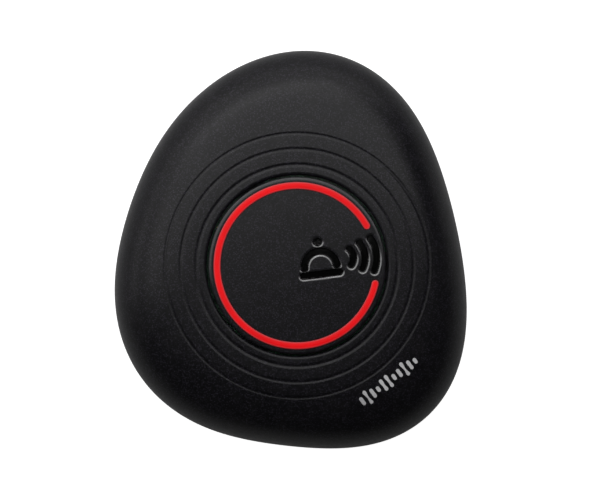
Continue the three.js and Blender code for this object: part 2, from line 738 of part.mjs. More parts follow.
function circuitBoard() {
  const shape = shellAngles.map((a) => polar(outlineRadius(a) - BOARD_INSET, a));
  const slotY = bayEnds[1] - SLIP - CONTACT_THICKNESS / 2;
  const [below, above] = [boardBottom - PAST, boardTop + PAST];
  return without(
    prism(shape, boardBottom, boardTop),
    ...screwPlaces.map((p) => cylinder(bossRadius + FIT, below, above, p.x, p.y)),
    ...boardScrewPlaces.map((p) => cylinder(BOARD_SCREW.shank + FIT / 2, below, above, p.x, p.y, 16)),
    ...carrierPegs.map((p) => cylinder(CARRIER.pegRadius + FIT / 2, below, above, p.x, p.y, 12)),
    ...cellPlaces.map((x) => box(CONTACT_TAB + FIT, CONTACT_THICKNESS + FIT, below, above, x, slotY)),
  );
}

function returnSpring(place) {
  const height = capUnderside - carrierTop - 2 * SLIP;
  const upright = coil(SPRING.radius, SPRING.radius, height, SPRING.turns, SPRING.wire);
  return upright.translate([place.x, place.y, carrierTop + SLIP]);
}

// A block soldered on top of the board, turned to the given angle, and one soldered underneath.
function blockOnTop([width, length, height], place, angle = 0) {
  return box(width, length, boardTop + SLIP, boardTop + height)
    .rotate([0, 0, angle])
    .translate([place.x, place.y, 0]);
}

function blockUnderneath({ size: [width, length, height], side, gap, y }) {
  const x = besideBay(side, gap + width / 2);
  return box(width, length, boardBottom - height, boardBottom - SLIP, x, y);
}

function antennaCoil() {
  const { side, gap, y, radius, length, turns, wire } = ANTENNA;
  const x = besideBay(side, gap + radius + wire / 2);
  const axis = boardBottom - radius - wire;
  return coil(radius, radius, length, turns, wire).rotate([-90, 0, 0]).translate([x, y, axis]);
}

function capacitor() {
  const { radius, height, edge, side, gap, y } = CAPACITOR;
  const x = besideBay(side, gap + radius);
  const top = boardBottom - SLIP;
  const bottom = top - height;
  const profile = [[0, bottom], [radius - edge, bottom], [radius, bottom + edge], [radius, top], [0, top]];
  return turned(profile, 24).translate([x, y, 0]);
}

// ---------- Materials ----------
const finish = (color, roughness, metalness = 0) =>
  new THREE.MeshStandardMaterial({ color, roughness, metalness });
const softBlack = finish(0x1c1d1f, 0.7);
const darkPlastic = finish(0x151617, 0.5);
const lampRed = finish(0xe3121a, 0.35);
const rubber = finish(0x232323, 0.9);
const steel = finish(0xa8abb0, 0.35, 1);
const boardGreen = finish(0x14502c, 0.5);
const whitePlastic = finish(0xd9d8d2, 0.5);
const cellSleeve = finish(0x2f5f9e, 0.35);

// ---------- Assembly ----------
const root = new THREE.Group();
const assembly = new THREE.Group();
assembly.position.set(-middle.x, -middle.y, 0);
root.add(assembly);

function put(name, shape, material) {
  const mesh = new THREE.Mesh(geometryOf(shape), material.clone());
  mesh.name = name;
  assembly.add(mesh);
}

put("upper_housing", upperHousing(), softBlack);
put("lower_housing", lowerHousing(), softBlack);
put("housing_gasket", housingGasket(), rubber);
footPlaces.forEach((place, i) => put(`foot_${i + 1}`, foot(place), rubber));
screwPlaces.forEach((place, i) =>
  put(`housing_screw_${i + 1}`, screw(HOUSING_SCREW, SCREW_SEAT, place), steel),
);

put("battery_door", batteryDoor(), softBlack);
put("battery_cell_1", cell(cellPlaces[0], true), cellSleeve);
put("battery_cell_2", cell(cellPlaces[1], false), cellSleeve);
put("battery_spring_1", batterySpring(cellPlaces[0], false), steel);
put("battery_spring_2", batterySpring(cellPlaces[1], true), steel);
put("contact_positive", contactPlate(cellPlaces[0]), steel);
put("contact_negative", contactPlate(cellPlaces[1]), steel);
put("contact_link", contactLink(), steel);

put("button_cap", buttonCap(), softBlack);
put("light_ring", lightRing(), lampRed);
put("spring_carrier", springCarrier(), whitePlastic);
springPlaces.forEach((place, i) => put(`return_spring_${i + 1}`, returnSpring(place), steel));

put("circuit_board", circuitBoard(), boardGreen);
boardScrewPlaces.forEach((place, i) =>
  put(`board_screw_${i + 1}`, screw(BOARD_SCREW, boardBottom - SLIP, place), steel),
);
put("switch_body", switchBody(), darkPlastic);
put("switch_cover", switchCover(), steel);
put("switch_plunger", switchPlunger(), darkPlastic);
onCircle(LAMP_ANGLES, ringRadius).forEach((place, i) =>
  put(`lamp_${i + 1}`, blockOnTop(LAMP_SIZE, place, LAMP_ANGLES[i]), whitePlastic),
);
put("controller_chip", blockOnTop(CHIP.size, onOutline([180], CHIP.inset)[0]), darkPlastic);
put("transmitter_module", blockUnderneath(MODULE), steel);
put("crystal", blockUnderneath(CRYSTAL), steel);
put("antenna_coil", antennaCoil(), steel);
put("capacitor", capacitor(), darkPlastic);

export default root;
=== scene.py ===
"""Finished look of a table call pager, built round its CAD frame.

The pager is a black, pebble-shaped transmitter: two shells, a round push button with a red light ring,
ripple grooves round the button, and a battery door underneath. Everything is in metres, in the CAD model's
own frame: +Z up, +Y towards the long end, origin on the table under the middle of the outline.
"""

import logging
import math
from dataclasses import dataclass
from enum import Enum
from typing import Sequence

import bmesh
import bpy
import numpy as np
import numpy.typing as npt
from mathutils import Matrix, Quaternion, Vector


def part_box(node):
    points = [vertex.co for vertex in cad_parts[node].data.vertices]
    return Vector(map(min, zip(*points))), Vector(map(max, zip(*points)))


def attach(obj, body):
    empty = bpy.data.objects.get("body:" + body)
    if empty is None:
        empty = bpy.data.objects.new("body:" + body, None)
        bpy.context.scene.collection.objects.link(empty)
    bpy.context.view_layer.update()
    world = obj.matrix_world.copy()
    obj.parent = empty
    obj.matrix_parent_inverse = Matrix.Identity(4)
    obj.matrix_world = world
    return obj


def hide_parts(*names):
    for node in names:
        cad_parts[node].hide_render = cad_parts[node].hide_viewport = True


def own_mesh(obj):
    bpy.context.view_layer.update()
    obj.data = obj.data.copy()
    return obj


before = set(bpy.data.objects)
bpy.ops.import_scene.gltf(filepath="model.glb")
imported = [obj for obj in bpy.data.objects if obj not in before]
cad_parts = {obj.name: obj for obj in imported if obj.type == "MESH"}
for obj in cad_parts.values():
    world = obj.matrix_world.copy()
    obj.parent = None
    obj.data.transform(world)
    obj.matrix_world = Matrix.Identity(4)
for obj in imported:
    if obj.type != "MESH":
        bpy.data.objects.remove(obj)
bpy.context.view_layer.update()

Array = npt.NDArray[np.float64]
Colour = tuple[float, float, float, float]
Value = float | Colour | bpy.types.NodeSocket

MM = 0.001
DEGREE = math.pi / 180.0
TURN = 2.0 * math.pi
MERGE_DISTANCE = 1e-6
SHARP_ANGLE = 38.0 * DEGREE
QUARTER = TURN / 4

log = logging.getLogger("pager")


# ---------------------------------------------------------------------------------------------------------
# Meshes
# ---------------------------------------------------------------------------------------------------------


@dataclass(frozen=True)
class Grid:
    """One closed skin, as rings of points.

    Attributes:
        points: rings by points by 3, in metres.
        looped: True when the last ring joins the first, as on a tyre. Otherwise the first and the last ring
            are each closed by a fan to their middle.
    """

    points: Array
    looped: bool = False

    def closed_points(self) -> Array:
        """Adds a ring of no width at each end, unless the skin is looped.

        Returns:
            Rings by points by 3.
        """
        if self.looped:
            return self.points
        ends = [np.broadcast_to(self.points[k].mean(axis=0), self.points[k].shape) for k in (0, -1)]
        return np.concatenate([ends[0][None], self.points, ends[1][None]])

    def mesh_data(self) -> tuple[Array, npt.NDArray[np.int64]]:
        """Gives the vertices and the quads, with the quads facing outwards.

        A quad joins neighbours j and j + 1 of rings i and i + 1. The quads are turned round when the volume
        that they enclose, a sixth of the summed triple products of their corners, is negative.

        Returns:
            Vertices by 3, and quads by 4.
        """
        rings = self.closed_points()
        count, around = rings.shape[:2]
        last = count if self.looped else count - 1
        i, j = (k.ravel() for k in np.meshgrid(np.arange(last), np.arange(around), indexing="ij"))
        following, beside = (i + 1) % count, (j + 1) % around
        quads = np.stack(
            [i * around + j, i * around + beside, following * around + beside, following * around + j], axis=1
        )
        vertices = rings.reshape(-1, 3)
        a, b, c, d = (vertices[quads[:, k]] for k in range(4))
        volume = np.einsum("ij,ij->", a, np.cross(b, c)) + np.einsum("ij,ij->", a, np.cross(c, d))
        return vertices, quads if volume > 0 else quads[:, ::-1]


def mesh_piece(name: str, grids: Sequence[Grid], sharp: float = SHARP_ANGLE) -> bpy.types.Object:
    """Makes one object from closed skins.

    Args:
        name: the piece's name.
        grids: its skins, each closed.
        sharp: edges that turn more than this stay sharp.

    Returns:
        The object, at the origin, with its place in its mesh.
    """
    vertices, quads, start = [], [], 0
    for grid in grids:
        points, faces = grid.mesh_data()
        vertices.append(points)
        quads.append(faces + start)
        start += len(points)
    mesh = bpy.data.meshes.new(name)
    mesh.from_pydata(np.concatenate(vertices).tolist(), [], np.concatenate(quads).tolist())
    work = bmesh.new()
    work.from_mesh(mesh)
    bmesh.ops.remove_doubles(work, verts=work.verts, dist=MERGE_DISTANCE)
    work.to_mesh(mesh)
    work.free()
    mesh.validate()
    piece = bpy.data.objects.new(name, mesh)
    bpy.context.scene.collection.objects.link(piece)
    smooth(piece, sharp)
    return piece


def smooth(piece: bpy.types.Object, sharp: float = SHARP_ANGLE) -> None:
    """Shades a piece smoothly, except over the edges that turn more than an angle."""
    piece.data.shade_smooth()
    piece.data.set_sharp_from_angle(angle=sharp)


class Carving(Enum):
    """What a tool body does to a piece."""

    JOIN = "UNION"
    CUT = "DIFFERENCE"


def carve(piece: bpy.types.Object, grids: Sequence[Grid], carving: Carving) -> None:
    """Joins closed skins to a piece, or cuts the piece with them, one after another.

    Args:
        piece: the piece, whose mesh is replaced each time.
        grids: the skins.
        carving: what each one does.
    """
    for grid in grids:
        tool = mesh_piece("tool", [grid])
        modifier = piece.modifiers.new("carve", "BOOLEAN")
        modifier.operation = carving.value
        modifier.solver = "EXACT"
        modifier.object = tool
        bpy.context.view_layer.update()
        carved = bpy.data.meshes.new_from_object(piece.evaluated_get(bpy.context.evaluated_depsgraph_get()))
        piece.modifiers.clear()
        piece.data = carved
        bpy.data.objects.remove(tool)
        smooth(piece)


def points_of(mesh: bpy.types.Mesh) -> Array:
    """Reads the vertices of a mesh.

    Args:
        mesh: the mesh.

    Returns:
        Vertices by 3.
    """
    flat = np.empty(3 * len(mesh.vertices))
    mesh.vertices.foreach_get("co", flat)
    return flat.reshape(-1, 3)


def write_attribute(piece: bpy.types.Object, name: str, values: Array) -> None:
    """Gives a piece a number at each vertex, which its finish reads by name."""
    piece.data.attributes.new(name, "FLOAT", "POINT").data.foreach_set("value", values)


def node_points(node: str) -> Array:
    """Vertices of a CAD node, one row each."""
    return points_of(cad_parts[node].data)


def middle_of(node: str) -> Array:
    """Middle of a CAD node's box."""
    low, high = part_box(node)
    return np.array((low + high) / 2)


def about_axis(centre: Array, radius: Array, angle: Array, height: Array) -> Array:
    """Places points (x + r cos a, y + r sin a, z) about an upright axis.

    Args:
        centre: x and y of the axis.
        radius: r of each point.
        angle: a of each point.
        height: z of each point.

    Returns:
        The common shape of the radii, angles and heights, by 3.
    """
    x = centre[0] + radius * np.cos(angle)
    y = centre[1] + radius * np.sin(angle)
    return np.stack(np.broadcast_arrays(x, y, height), axis=-1)


def turned(profile: Array, centre: Array, sides: int, looped: bool = False) -> Grid:
    """Turns a profile about an upright axis, so that each of its points becomes a ring.

    Args:
        profile: points by 2, radius and height.
        centre: x and y of the axis.
        sides: points in each ring.
        looped: True when the profile closes on itself.

    Returns:
        The closed skin.
    """
    angle = np.arange(sides) * TURN / sides
    return Grid(about_axis(centre, profile[:, :1], angle, profile[:, 1:]), looped)


def lathed(corners: Sequence[tuple[float, float, float]], centre: Array, sides: int, steps: int = 6) -> Grid:
    """Turns a profile with rounded corners about an upright axis.

    Args:
        corners: radius, height and rounding distance of each corner.
        centre: x and y of the axis.
        sides: points in each ring.
        steps: pieces in each rounded corner.

    Returns:
        The closed skin.
    """
    return turned(rounded_profile(corners, steps), centre, sides)


def rounded_profile(corners: Sequence[tuple[float, float, float]], steps: int = 6) -> Array:
    """Rounds the corners of an open profile.

    Each corner is a quadratic curve from a point before it to a point after it, both at its own rounding
    distance: (1 - t)^2 before + 2 t (1 - t) corner + t^2 after. A corner with no rounding stays as it is.

    Args:
        corners: radius, height and rounding distance of each corner.
        steps: pieces in each rounded corner.

    Returns:
        Points by 2.
    """
    places = np.array([corner[:2] for corner in corners])
    t = np.linspace(0.0, 1.0, steps + 1)[:, None]
    out = [places[:1]]
    for before, place, after, corner in zip(places, places[1:], places[2:], corners[1:-1]):
        reach = corner[2]
        if reach == 0.0:
            out.append(place[None])
            continue
        start = place + (before - place) * reach / np.linalg.norm(before - place)
        end = place + (after - place) * reach / np.linalg.norm(after - place)
        out.append((1 - t) ** 2 * start + 2 * t * (1 - t) * place + t**2 * end)
    return np.concatenate([*out, places[-1:]])


def rounded_rectangle(width: float, length: float, corner: float, steps: int = 10) -> Array:
    """Draws a rectangle about the origin with round corners, anticlockwise.

    Args:
        width: its size along x.
        length: its size along y.
        corner: radius of its corners.
        steps: points in each corner.

    Returns:
        Points by 2.
    """
    quarter = np.linspace(0.0, QUARTER, steps)
    out = []
    for turn, (sx, sy) in enumerate([(1, 1), (-1, 1), (-1, -1), (1, -1)]):
        angle = quarter + turn * QUARTER
        arc = np.stack([np.cos(angle), np.sin(angle)], axis=1) * corner
        out.append(arc + [sx * (width / 2 - corner), sy * (length / 2 - corner)])
    return np.concatenate(out)


def slab(low: Sequence[float], high: Sequence[float], corner: float, edge: float = 0.0) -> Grid:
    """A block with round upright corners and softened top and bottom edges.

    The outline is carried upwards and drawn in at both ends by edge (1 - sin a), a quarter circle.

    Args:
        low: lowest corner.
        high: highest corner.
        corner: radius of the upright corners.
        edge: radius of the top and bottom edges.

    Returns:
        The closed skin.
    """
    low, high = np.array(low, float), np.array(high, float)
    outline = rounded_rectangle(high[0] - low[0], high[1] - low[1], corner)
    normal = rounded_rectangle(2.0, 2.0, 1.0)
    angle = np.linspace(0.0, QUARTER, 5) if edge else np.zeros(1)
    inset = edge * (1 - np.sin(angle))
    rise = edge * (1 - np.cos(angle))
    insets = np.concatenate([inset, inset[::-1]])
    heights = np.concatenate([low[2] + rise, high[2] - rise[::-1]])
    plan = outline[None] - insets[:, None, None] * normal[None] + (low[:2] + high[:2]) / 2
    height = np.broadcast_to(heights[:, None, None], plan.shape[:2] + (1,))
    return Grid(np.concatenate([plan, height], axis=-1))


Span = tuple[float, float]


def bar(middle: float, half: float, y: Span, z: Span, corner: float, edge: float = 0.0) -> Grid:
    """A slab whose x is given by its middle.

    Args:
        middle: x of its middle.
        half: half its width.
        y: where it starts and ends along Y.
        z: where it starts and ends along Z.
        corner: radius of the upright corners.
        edge: radius of the top and bottom edges.

    Returns:
        The closed skin.
    """
    return slab((middle - half, y[0], z[0]), (middle + half, y[1], z[1]), corner, edge)


def place_piece(
    piece: bpy.types.Object,
    body: str,
    material: bpy.types.Material,
    nodes: Sequence[str] = (),
) -> bpy.types.Object:
    """Gives a piece its finish, puts it on a body and hides the CAD nodes that it stands for.

    Args:
        piece: the new piece.
        body: CAD body that it moves with.
        material: its finish.
        nodes: CAD nodes that it replaces.

    Returns:
        The same piece.
    """
    piece.data.materials.clear()
    piece.data.materials.append(material)
    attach(piece, body)
    if nodes:
        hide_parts(*nodes)
    log.info("%s: %d faces, on %s", piece.name, len(piece.data.polygons), body)
    return piece


# ---------------------------------------------------------------------------------------------------------
# Finishes
# ---------------------------------------------------------------------------------------------------------


class NodeBench:
    """Adds nodes to one tree and joins them up."""

    def __init__(self, tree: bpy.types.NodeTree) -> None:
        """Keeps the tree."""
        self.tree = tree

    def feed(self, node: bpy.types.Node, inputs: dict[str | int, Value]) -> None:
        """Sets sockets of a node to values, or joins sources to them.

        Args:
            node: the node.
            inputs: value or source of each of its sockets, by name or place.
        """
        for socket, value in inputs.items():
            if isinstance(value, bpy.types.NodeSocket):
                self.tree.links.new(value, node.inputs[socket])
            else:
                node.inputs[socket].default_value = value

    def add(
        self, kind: str, inputs: dict[str | int, Value] | None = None, **settings: object
    ) -> bpy.types.Node:
        """Adds one node.

        Args:
            kind: the node's type, without its ShaderNode prefix.
            inputs: value or source of each of its sockets, by name or place.
            settings: the node's own options.

        Returns:
            The node.
        """
        node = self.tree.nodes.new(kind if kind.startswith("NodeGroup") else "ShaderNode" + kind)
        for option, value in settings.items():
            setattr(node, option, value)
        self.feed(node, inputs or {})
        return node

    def maths(self, operation: str, a: Value, b: Value = 0.0, clamp: bool = False) -> bpy.types.NodeSocket:
        """Result of a Math node on two values."""
        return self.add("Math", {0: a, 1: b}, operation=operation, use_clamp=clamp).outputs[0]

    def spread(
        self, value: Value, low: float, high: float, to_low: float = 0.0, to_high: float = 1.0
    ) -> bpy.types.NodeSocket:
        """Carries the span from low to high onto another span, smoothly and clamped."""
        inputs = {"Value": value, "From Min": low, "From Max": high, "To Min": to_low, "To Max": to_high}
        return self.add("MapRange", inputs, interpolation_type="SMOOTHSTEP").outputs[0]

    def blend(self, share: Value, first: Value, second: Value) -> bpy.types.NodeSocket:
        """Colour between two colours."""
        node = self.add("Mix", {0: share, 6: first, 7: second}, data_type="RGBA")
        return node.outputs[2]

    def noise(self, vector: Value, scale: Value, detail: float = 2.0) -> bpy.types.NodeSocket:
        """Value of a noise texture on a vector."""
        return self.add("TexNoise", {"Vector": vector, "Scale": scale, "Detail": detail}).outputs["Fac"]

    def object_vector(self, scale: Sequence[float] = (1.0, 1.0, 1.0)) -> bpy.types.NodeSocket:
        """The piece's Object coordinates, stretched per axis."""
        source = self.add("TexCoord").outputs["Object"]
        return self.add("Mapping", {"Vector": source, "Scale": tuple(scale)}).outputs[0]

    def group(self, tree: bpy.types.NodeTree, inputs: dict[str, Value]) -> bpy.types.Node:
        """Places a shared effect.

        Args:
            tree: the effect.
            inputs: value or source of each of its sockets.

        Returns:
            The group node.
        """
        node = self.tree.nodes.new("ShaderNodeGroup")
        node.node_tree = tree
        self.feed(node, inputs)
        return node

    def times(self, a: Value, b: Value) -> bpy.types.NodeSocket:
        """Product of two values."""
        return self.maths("MULTIPLY", a, b)


class SocketKind(Enum):
    """Socket types of the shared effects."""

    NUMBER = "NodeSocketFloat"
    VECTOR = "NodeSocketVector"
    COLOUR = "NodeSocketColor"


def effect_tree(
    name: str, inputs: dict[str, SocketKind], outputs: Sequence[str]
) -> tuple[NodeBench, bpy.types.Node, bpy.types.Node]:
    """Starts a shared effect.

    Args:
        name: the effect's name.
        inputs: its input sockets.
        outputs: its output sockets, all numbers.

    Returns:
        A bench on its tree, its input node and its output node.
    """
    tree = bpy.data.node_groups.new(name, "ShaderNodeTree")
    for socket, kind in inputs.items():
        tree.interface.new_socket(name=socket, in_out="INPUT", socket_type=kind.value)
    for socket in outputs:
        tree.interface.new_socket(name=socket, in_out="OUTPUT", socket_type=SocketKind.NUMBER.value)
    bench = NodeBench(tree)
    return bench, bench.add("NodeGroupInput"), bench.add("NodeGroupOutput")


class Material:
    """A new material with a bench on its tree and its Principled shader.

    Attributes:
        material: the material.
        bench: adds nodes to it.
        shader: its Principled shader.
    """

    def __init__(self, name: str) -> None:
        """Makes the material.

        Args:
            name: its name.
        """
        self.material = bpy.data.materials.new(name)
        self.material.use_nodes = True
        self.bench = NodeBench(self.material.node_tree)
        self.shader = self.material.node_tree.nodes["Principled BSDF"]

    def bump(self, height: Value, strength: float, distance: float) -> None:
        """Bumps the surface by a height.

        Args:
            height: source of the height.
            strength: strength of the bump, 0 to 1.
            distance: height of the bump, in metres.
        """
        bump = self.bench.add("Bump", {"Height": height, "Strength": strength, "Distance": distance})
        self.bench.feed(self.shader, {"Normal": bump.outputs[0]})


def shaded(colour: Colour, share: float) -> Colour:
    """A colour darkened to a share of itself."""
    return (share * colour[0], share * colour[1], share * colour[2], 1.0)


class Effects:
    """Effects that several finishes share, each built once."""

    def __init__(self) -> None:
        """Builds the effects."""
        self.grain = self._grain()
        self.wear = self._wear()
        self.dust = self._dust()
        self.streaks = self._streaks()

    @staticmethod
    def _grain() -> bpy.types.NodeTree:
        """Moulded grain: fine pits, bright specks and slow mottling, all from the piece's own place.

        Returns:
            The effect.
        """
        kinds = {"Vector": SocketKind.VECTOR, "Scale": SocketKind.NUMBER}
        bench, source, sink = effect_tree("moulded_grain", kinds, ["Height", "Speck", "Mottle"])
        vector, scale = source.outputs["Vector"], source.outputs["Scale"]
        fine = bench.noise(vector, scale, 3.0)
        coarse = bench.noise(vector, bench.times(scale, 0.37), 2.0)
        height = bench.maths("ADD", bench.times(fine, 0.65), bench.times(coarse, 0.35))
        cells = bench.add("TexVoronoi", {"Vector": vector, "Scale": bench.times(scale, 0.8)})
        tint = bench.add("SeparateColor", {0: cells.outputs["Color"]}).outputs[0]
        core = bench.spread(cells.outputs["Distance"], 0.7, 0.1)
        speck = bench.times(bench.spread(tint, 0.2, 1.0), core)
        mottle = bench.spread(bench.noise(vector, bench.times(scale, 0.02), 3.0), 0.3, 0.7)
        bench.feed(sink, {"Height": height, "Speck": speck, "Mottle": mottle})
        return bench.tree

    @staticmethod
    def _wear() -> bpy.types.NodeTree:
        """Edge wear: where the surface is convex, broken up by noise.

        Returns:
            The effect.
        """
        kinds = {"Vector": SocketKind.VECTOR, "Pointiness": SocketKind.NUMBER, "Amount": SocketKind.NUMBER}
        bench, source, sink = effect_tree("edge_wear", kinds, ["Mask"])
        ridge = bench.spread(source.outputs["Pointiness"], 0.51, 0.6)
        broken = bench.spread(bench.noise(source.outputs["Vector"], 700.0, 4.0), 0.35, 0.75)
        mask = bench.times(bench.times(ridge, broken), source.outputs["Amount"])
        bench.feed(sink, {"Mask": mask})
        return bench.tree

    @staticmethod
    def _dust() -> bpy.types.NodeTree:
        """Dust: thin patches that gather in hollows.

        Returns:
            The effect.
        """
        kinds = {"Vector": SocketKind.VECTOR, "Pointiness": SocketKind.NUMBER, "Amount": SocketKind.NUMBER}
        bench, source, sink = effect_tree("settled_dust", kinds, ["Mask"])
        hollow = bench.spread(source.outputs["Pointiness"], 0.5, 0.44, 0.25, 1.0)
        patches = bench.spread(bench.noise(source.outputs["Vector"], 260.0, 5.0), 0.45, 0.8)
        mask = bench.times(bench.times(hollow, patches), source.outputs["Amount"])
        bench.feed(sink, {"Mask": mask})
        return bench.tree

    @staticmethod
    def _streaks() -> bpy.types.NodeTree:
        """Drawing and brushing marks: noise on a vector that the finish has stretched one way.

        Returns:
            The effect.
        """
        kinds = {"Vector": SocketKind.VECTOR, "Scale": SocketKind.NUMBER}
        bench, source, sink = effect_tree("drawn_streaks", kinds, ["Height"])
        marks = bench.noise(source.outputs["Vector"], source.outputs["Scale"], 4.0)
        bench.feed(sink, {"Height": marks})
        return bench.tree


DUST_COLOUR: Colour = (0.32, 0.3, 0.28, 1.0)
# painted shade: near black for the inside of engraved strokes, where shade falls
PAINTED_SHADE_COLOUR: Colour = (0.0005, 0.0005, 0.0005, 1.0)
WORN_METAL: Colour = (0.86, 0.86, 0.85, 1.0)
BARE_METAL: Colour = (0.72, 0.72, 0.72, 1.0)
GOLD_PAD: Colour = (0.78, 0.62, 0.28, 1.0)


@dataclass(frozen=True)
class MouldedFinish:
    """Moulded plastic or rubber: grain, specks, mottling, edge wear and dust.

    Attributes:
        name: the material's name.
        colour: its ground colour.
        speck: colour of its bright grains and of its worn edges.
        speck_share: how strongly the specks show, 0 to 1.
        rough: roughness of a clean face.
        grain: grains per metre.
        relief: height of the grain, in metres.
        wear: strength of the edge wear, 0 to 1.
        dust: strength of the dust, 0 to 1.
        specular: specular level of the shader.
        polish: clear gloss where the piece's point attribute, polished, is 1. Where its attribute pit is 1
        the face is painted near black, a painted shade for the inside of an engraving.
    """

    name: str
    colour: Colour
    speck: Colour
    speck_share: float = 0.2
    rough: float = 0.5
    grain: float = 5000.0
    relief: float = 0.00003
    wear: float = 0.4
    dust: float = 0.1
    specular: float = 0.5
    polish: float = 0.0

    def make(self, effects: Effects) -> bpy.types.Material:
        """Builds the material.

        Args:
            effects: the shared effects.

        Returns:
            The material.
        """
        made = Material(self.name)
        bench = made.bench
        vector = bench.object_vector()
        pointiness = bench.add("NewGeometry").outputs["Pointiness"]
        grain = bench.group(effects.grain, {"Vector": vector, "Scale": self.grain})
        shared = {"Vector": vector, "Pointiness": pointiness}
        wear = bench.group(effects.wear, {**shared, "Amount": self.wear}).outputs["Mask"]
        dust = bench.group(effects.dust, {**shared, "Amount": self.dust}).outputs["Mask"]
        speck_share = bench.times(grain.outputs["Speck"], self.speck_share)
        ground = bench.blend(grain.outputs["Mottle"], shaded(self.colour, 0.82), self.colour)
        specked = bench.blend(bench.maths("MAXIMUM", speck_share, wear), ground, self.speck)
        tone = bench.blend(dust, specked, DUST_COLOUR)
        rough = bench.spread(grain.outputs["Height"], 0.3, 0.7, self.rough - 0.06, self.rough + 0.08)
        rough = bench.maths("ADD", rough, bench.times(dust, 0.3), clamp=True)
        rough = bench.maths("SUBTRACT", rough, bench.times(wear, 0.15), clamp=True)
        if self.polish:
            polished = bench.add("Attribute", attribute_name="polished").outputs["Fac"]
            shaded_pit = bench.add("Attribute", attribute_name="shaded_pit").outputs["Fac"]
            # painted shade: the inside of the engraved strokes turns near black
            tone = bench.blend(shaded_pit, tone, PAINTED_SHADE_COLOUR)
            rough = bench.add("Mix", {0: shaded_pit, 2: rough, 3: 0.1}).outputs[0]
            coat = {"Coat Weight": bench.times(polished, self.polish), "Coat Roughness": 0.2, "Coat IOR": 1.9}
            bench.feed(made.shader, coat)
        bench.feed(made.shader, {"Base Color": tone, "Roughness": rough, "Specular IOR Level": self.specular})
        made.bump(grain.outputs["Height"], 1.0, self.relief)
        return made.material


@dataclass(frozen=True)
class MetalFinish:
    """Drawn, stamped or plated metal: streaks along one way, stains and worn edges.

    Attributes:
        name: the material's name.
        colour: colour of the clean metal.
        stain: colour where it has dulled.
        rough: roughness of the clean metal.
        stretch: how the streaks are drawn out, per axis; a small value is a long way.
        streaks: streaks per metre.
        wear: strength of the edge wear, 0 to 1.
    """

    name: str
    colour: Colour
    stain: Colour
    rough: float = 0.28
    stretch: tuple[float, float, float] = (1.0, 1.0, 0.06)
    streaks: float = 9000.0
    wear: float = 0.6

    def make(self, effects: Effects) -> bpy.types.Material:
        """Builds the material.

        Args:
            effects: the shared effects.

        Returns:
            The material.
        """
        made = Material(self.name)
        bench = made.bench
        plain, drawn = bench.object_vector(), bench.object_vector(self.stretch)
        pointiness = bench.add("NewGeometry").outputs["Pointiness"]
        marks = bench.group(effects.streaks, {"Vector": drawn, "Scale": self.streaks}).outputs["Height"]
        edges = {"Vector": plain, "Pointiness": pointiness, "Amount": self.wear}
        wear = bench.group(effects.wear, edges).outputs["Mask"]
        stains = bench.spread(bench.noise(plain, 420.0, 4.0), 0.42, 0.75)
        ground = bench.blend(bench.times(stains, 0.55), self.colour, self.stain)
        tone = bench.blend(wear, ground, WORN_METAL)
        rough = bench.spread(marks, 0.3, 0.7, self.rough - 0.08, self.rough + 0.1)
        rough = bench.maths("ADD", rough, bench.times(stains, 0.12), clamp=True)
        bench.feed(made.shader, {"Base Color": tone, "Roughness": rough, "Metallic": 1.0})
        made.bump(marks, 0.5, 0.02 * MM)
        return made.material


@dataclass(frozen=True)
class GlowFinish:
    """Translucent coloured plastic, lit from behind.

    The mesh carries a point attribute, border, which rises to 1 at the edges of its face. There the finish
    paints a paler highlight and dims the glow.

    Attributes:
        name: the material's name.
        colour: colour of the plastic.
        highlight_border: paler colour along its edges, a painted highlight; the light from behind hardly
            reaches them,
        so the glow is dimmed there.
        core: colour of the light in the middle of the strip.
        strength: strength of the light.
    """

    name: str
    colour: Colour
    highlight_border: Colour
    core: Colour
    strength: float

    def make(self, effects: Effects) -> bpy.types.Material:
        """Builds the material: fine grain on a satin face, and light that varies a little along the strip.

        Args:
            effects: the shared effects.

        Returns:
            The material.
        """
        made = Material(self.name)
        bench = made.bench
        vector = bench.object_vector()
        grain = bench.group(effects.grain, {"Vector": vector, "Scale": 6500.0})
        highlight_border = bench.add("Attribute", attribute_name="highlight_border").outputs["Fac"]
        mottled = bench.blend(grain.outputs["Mottle"], shaded(self.colour, 0.85), self.colour)
        clouds = bench.spread(bench.noise(vector, 90.0, 2.0), 0.3, 0.7)
        glow = bench.blend(clouds, shaded(self.core, 0.82), self.core)
        inputs = {
            # painted highlight: the edges of the face turn paler, standing in for their gloss
            "Base Color": bench.blend(highlight_border, mottled, self.highlight_border),
            "Emission Color": bench.blend(bench.times(highlight_border, 0.75), glow, (0.0, 0.0, 0.0, 1.0)),
            "Emission Strength": self.strength,
            "Roughness": bench.spread(grain.outputs["Height"], 0.3, 0.7, 0.3, 0.42),
            "Specular IOR Level": 0.15,
        }
        bench.feed(made.shader, inputs)
        made.bump(grain.outputs["Height"], 0.5, 0.01 * MM)
        return made.material


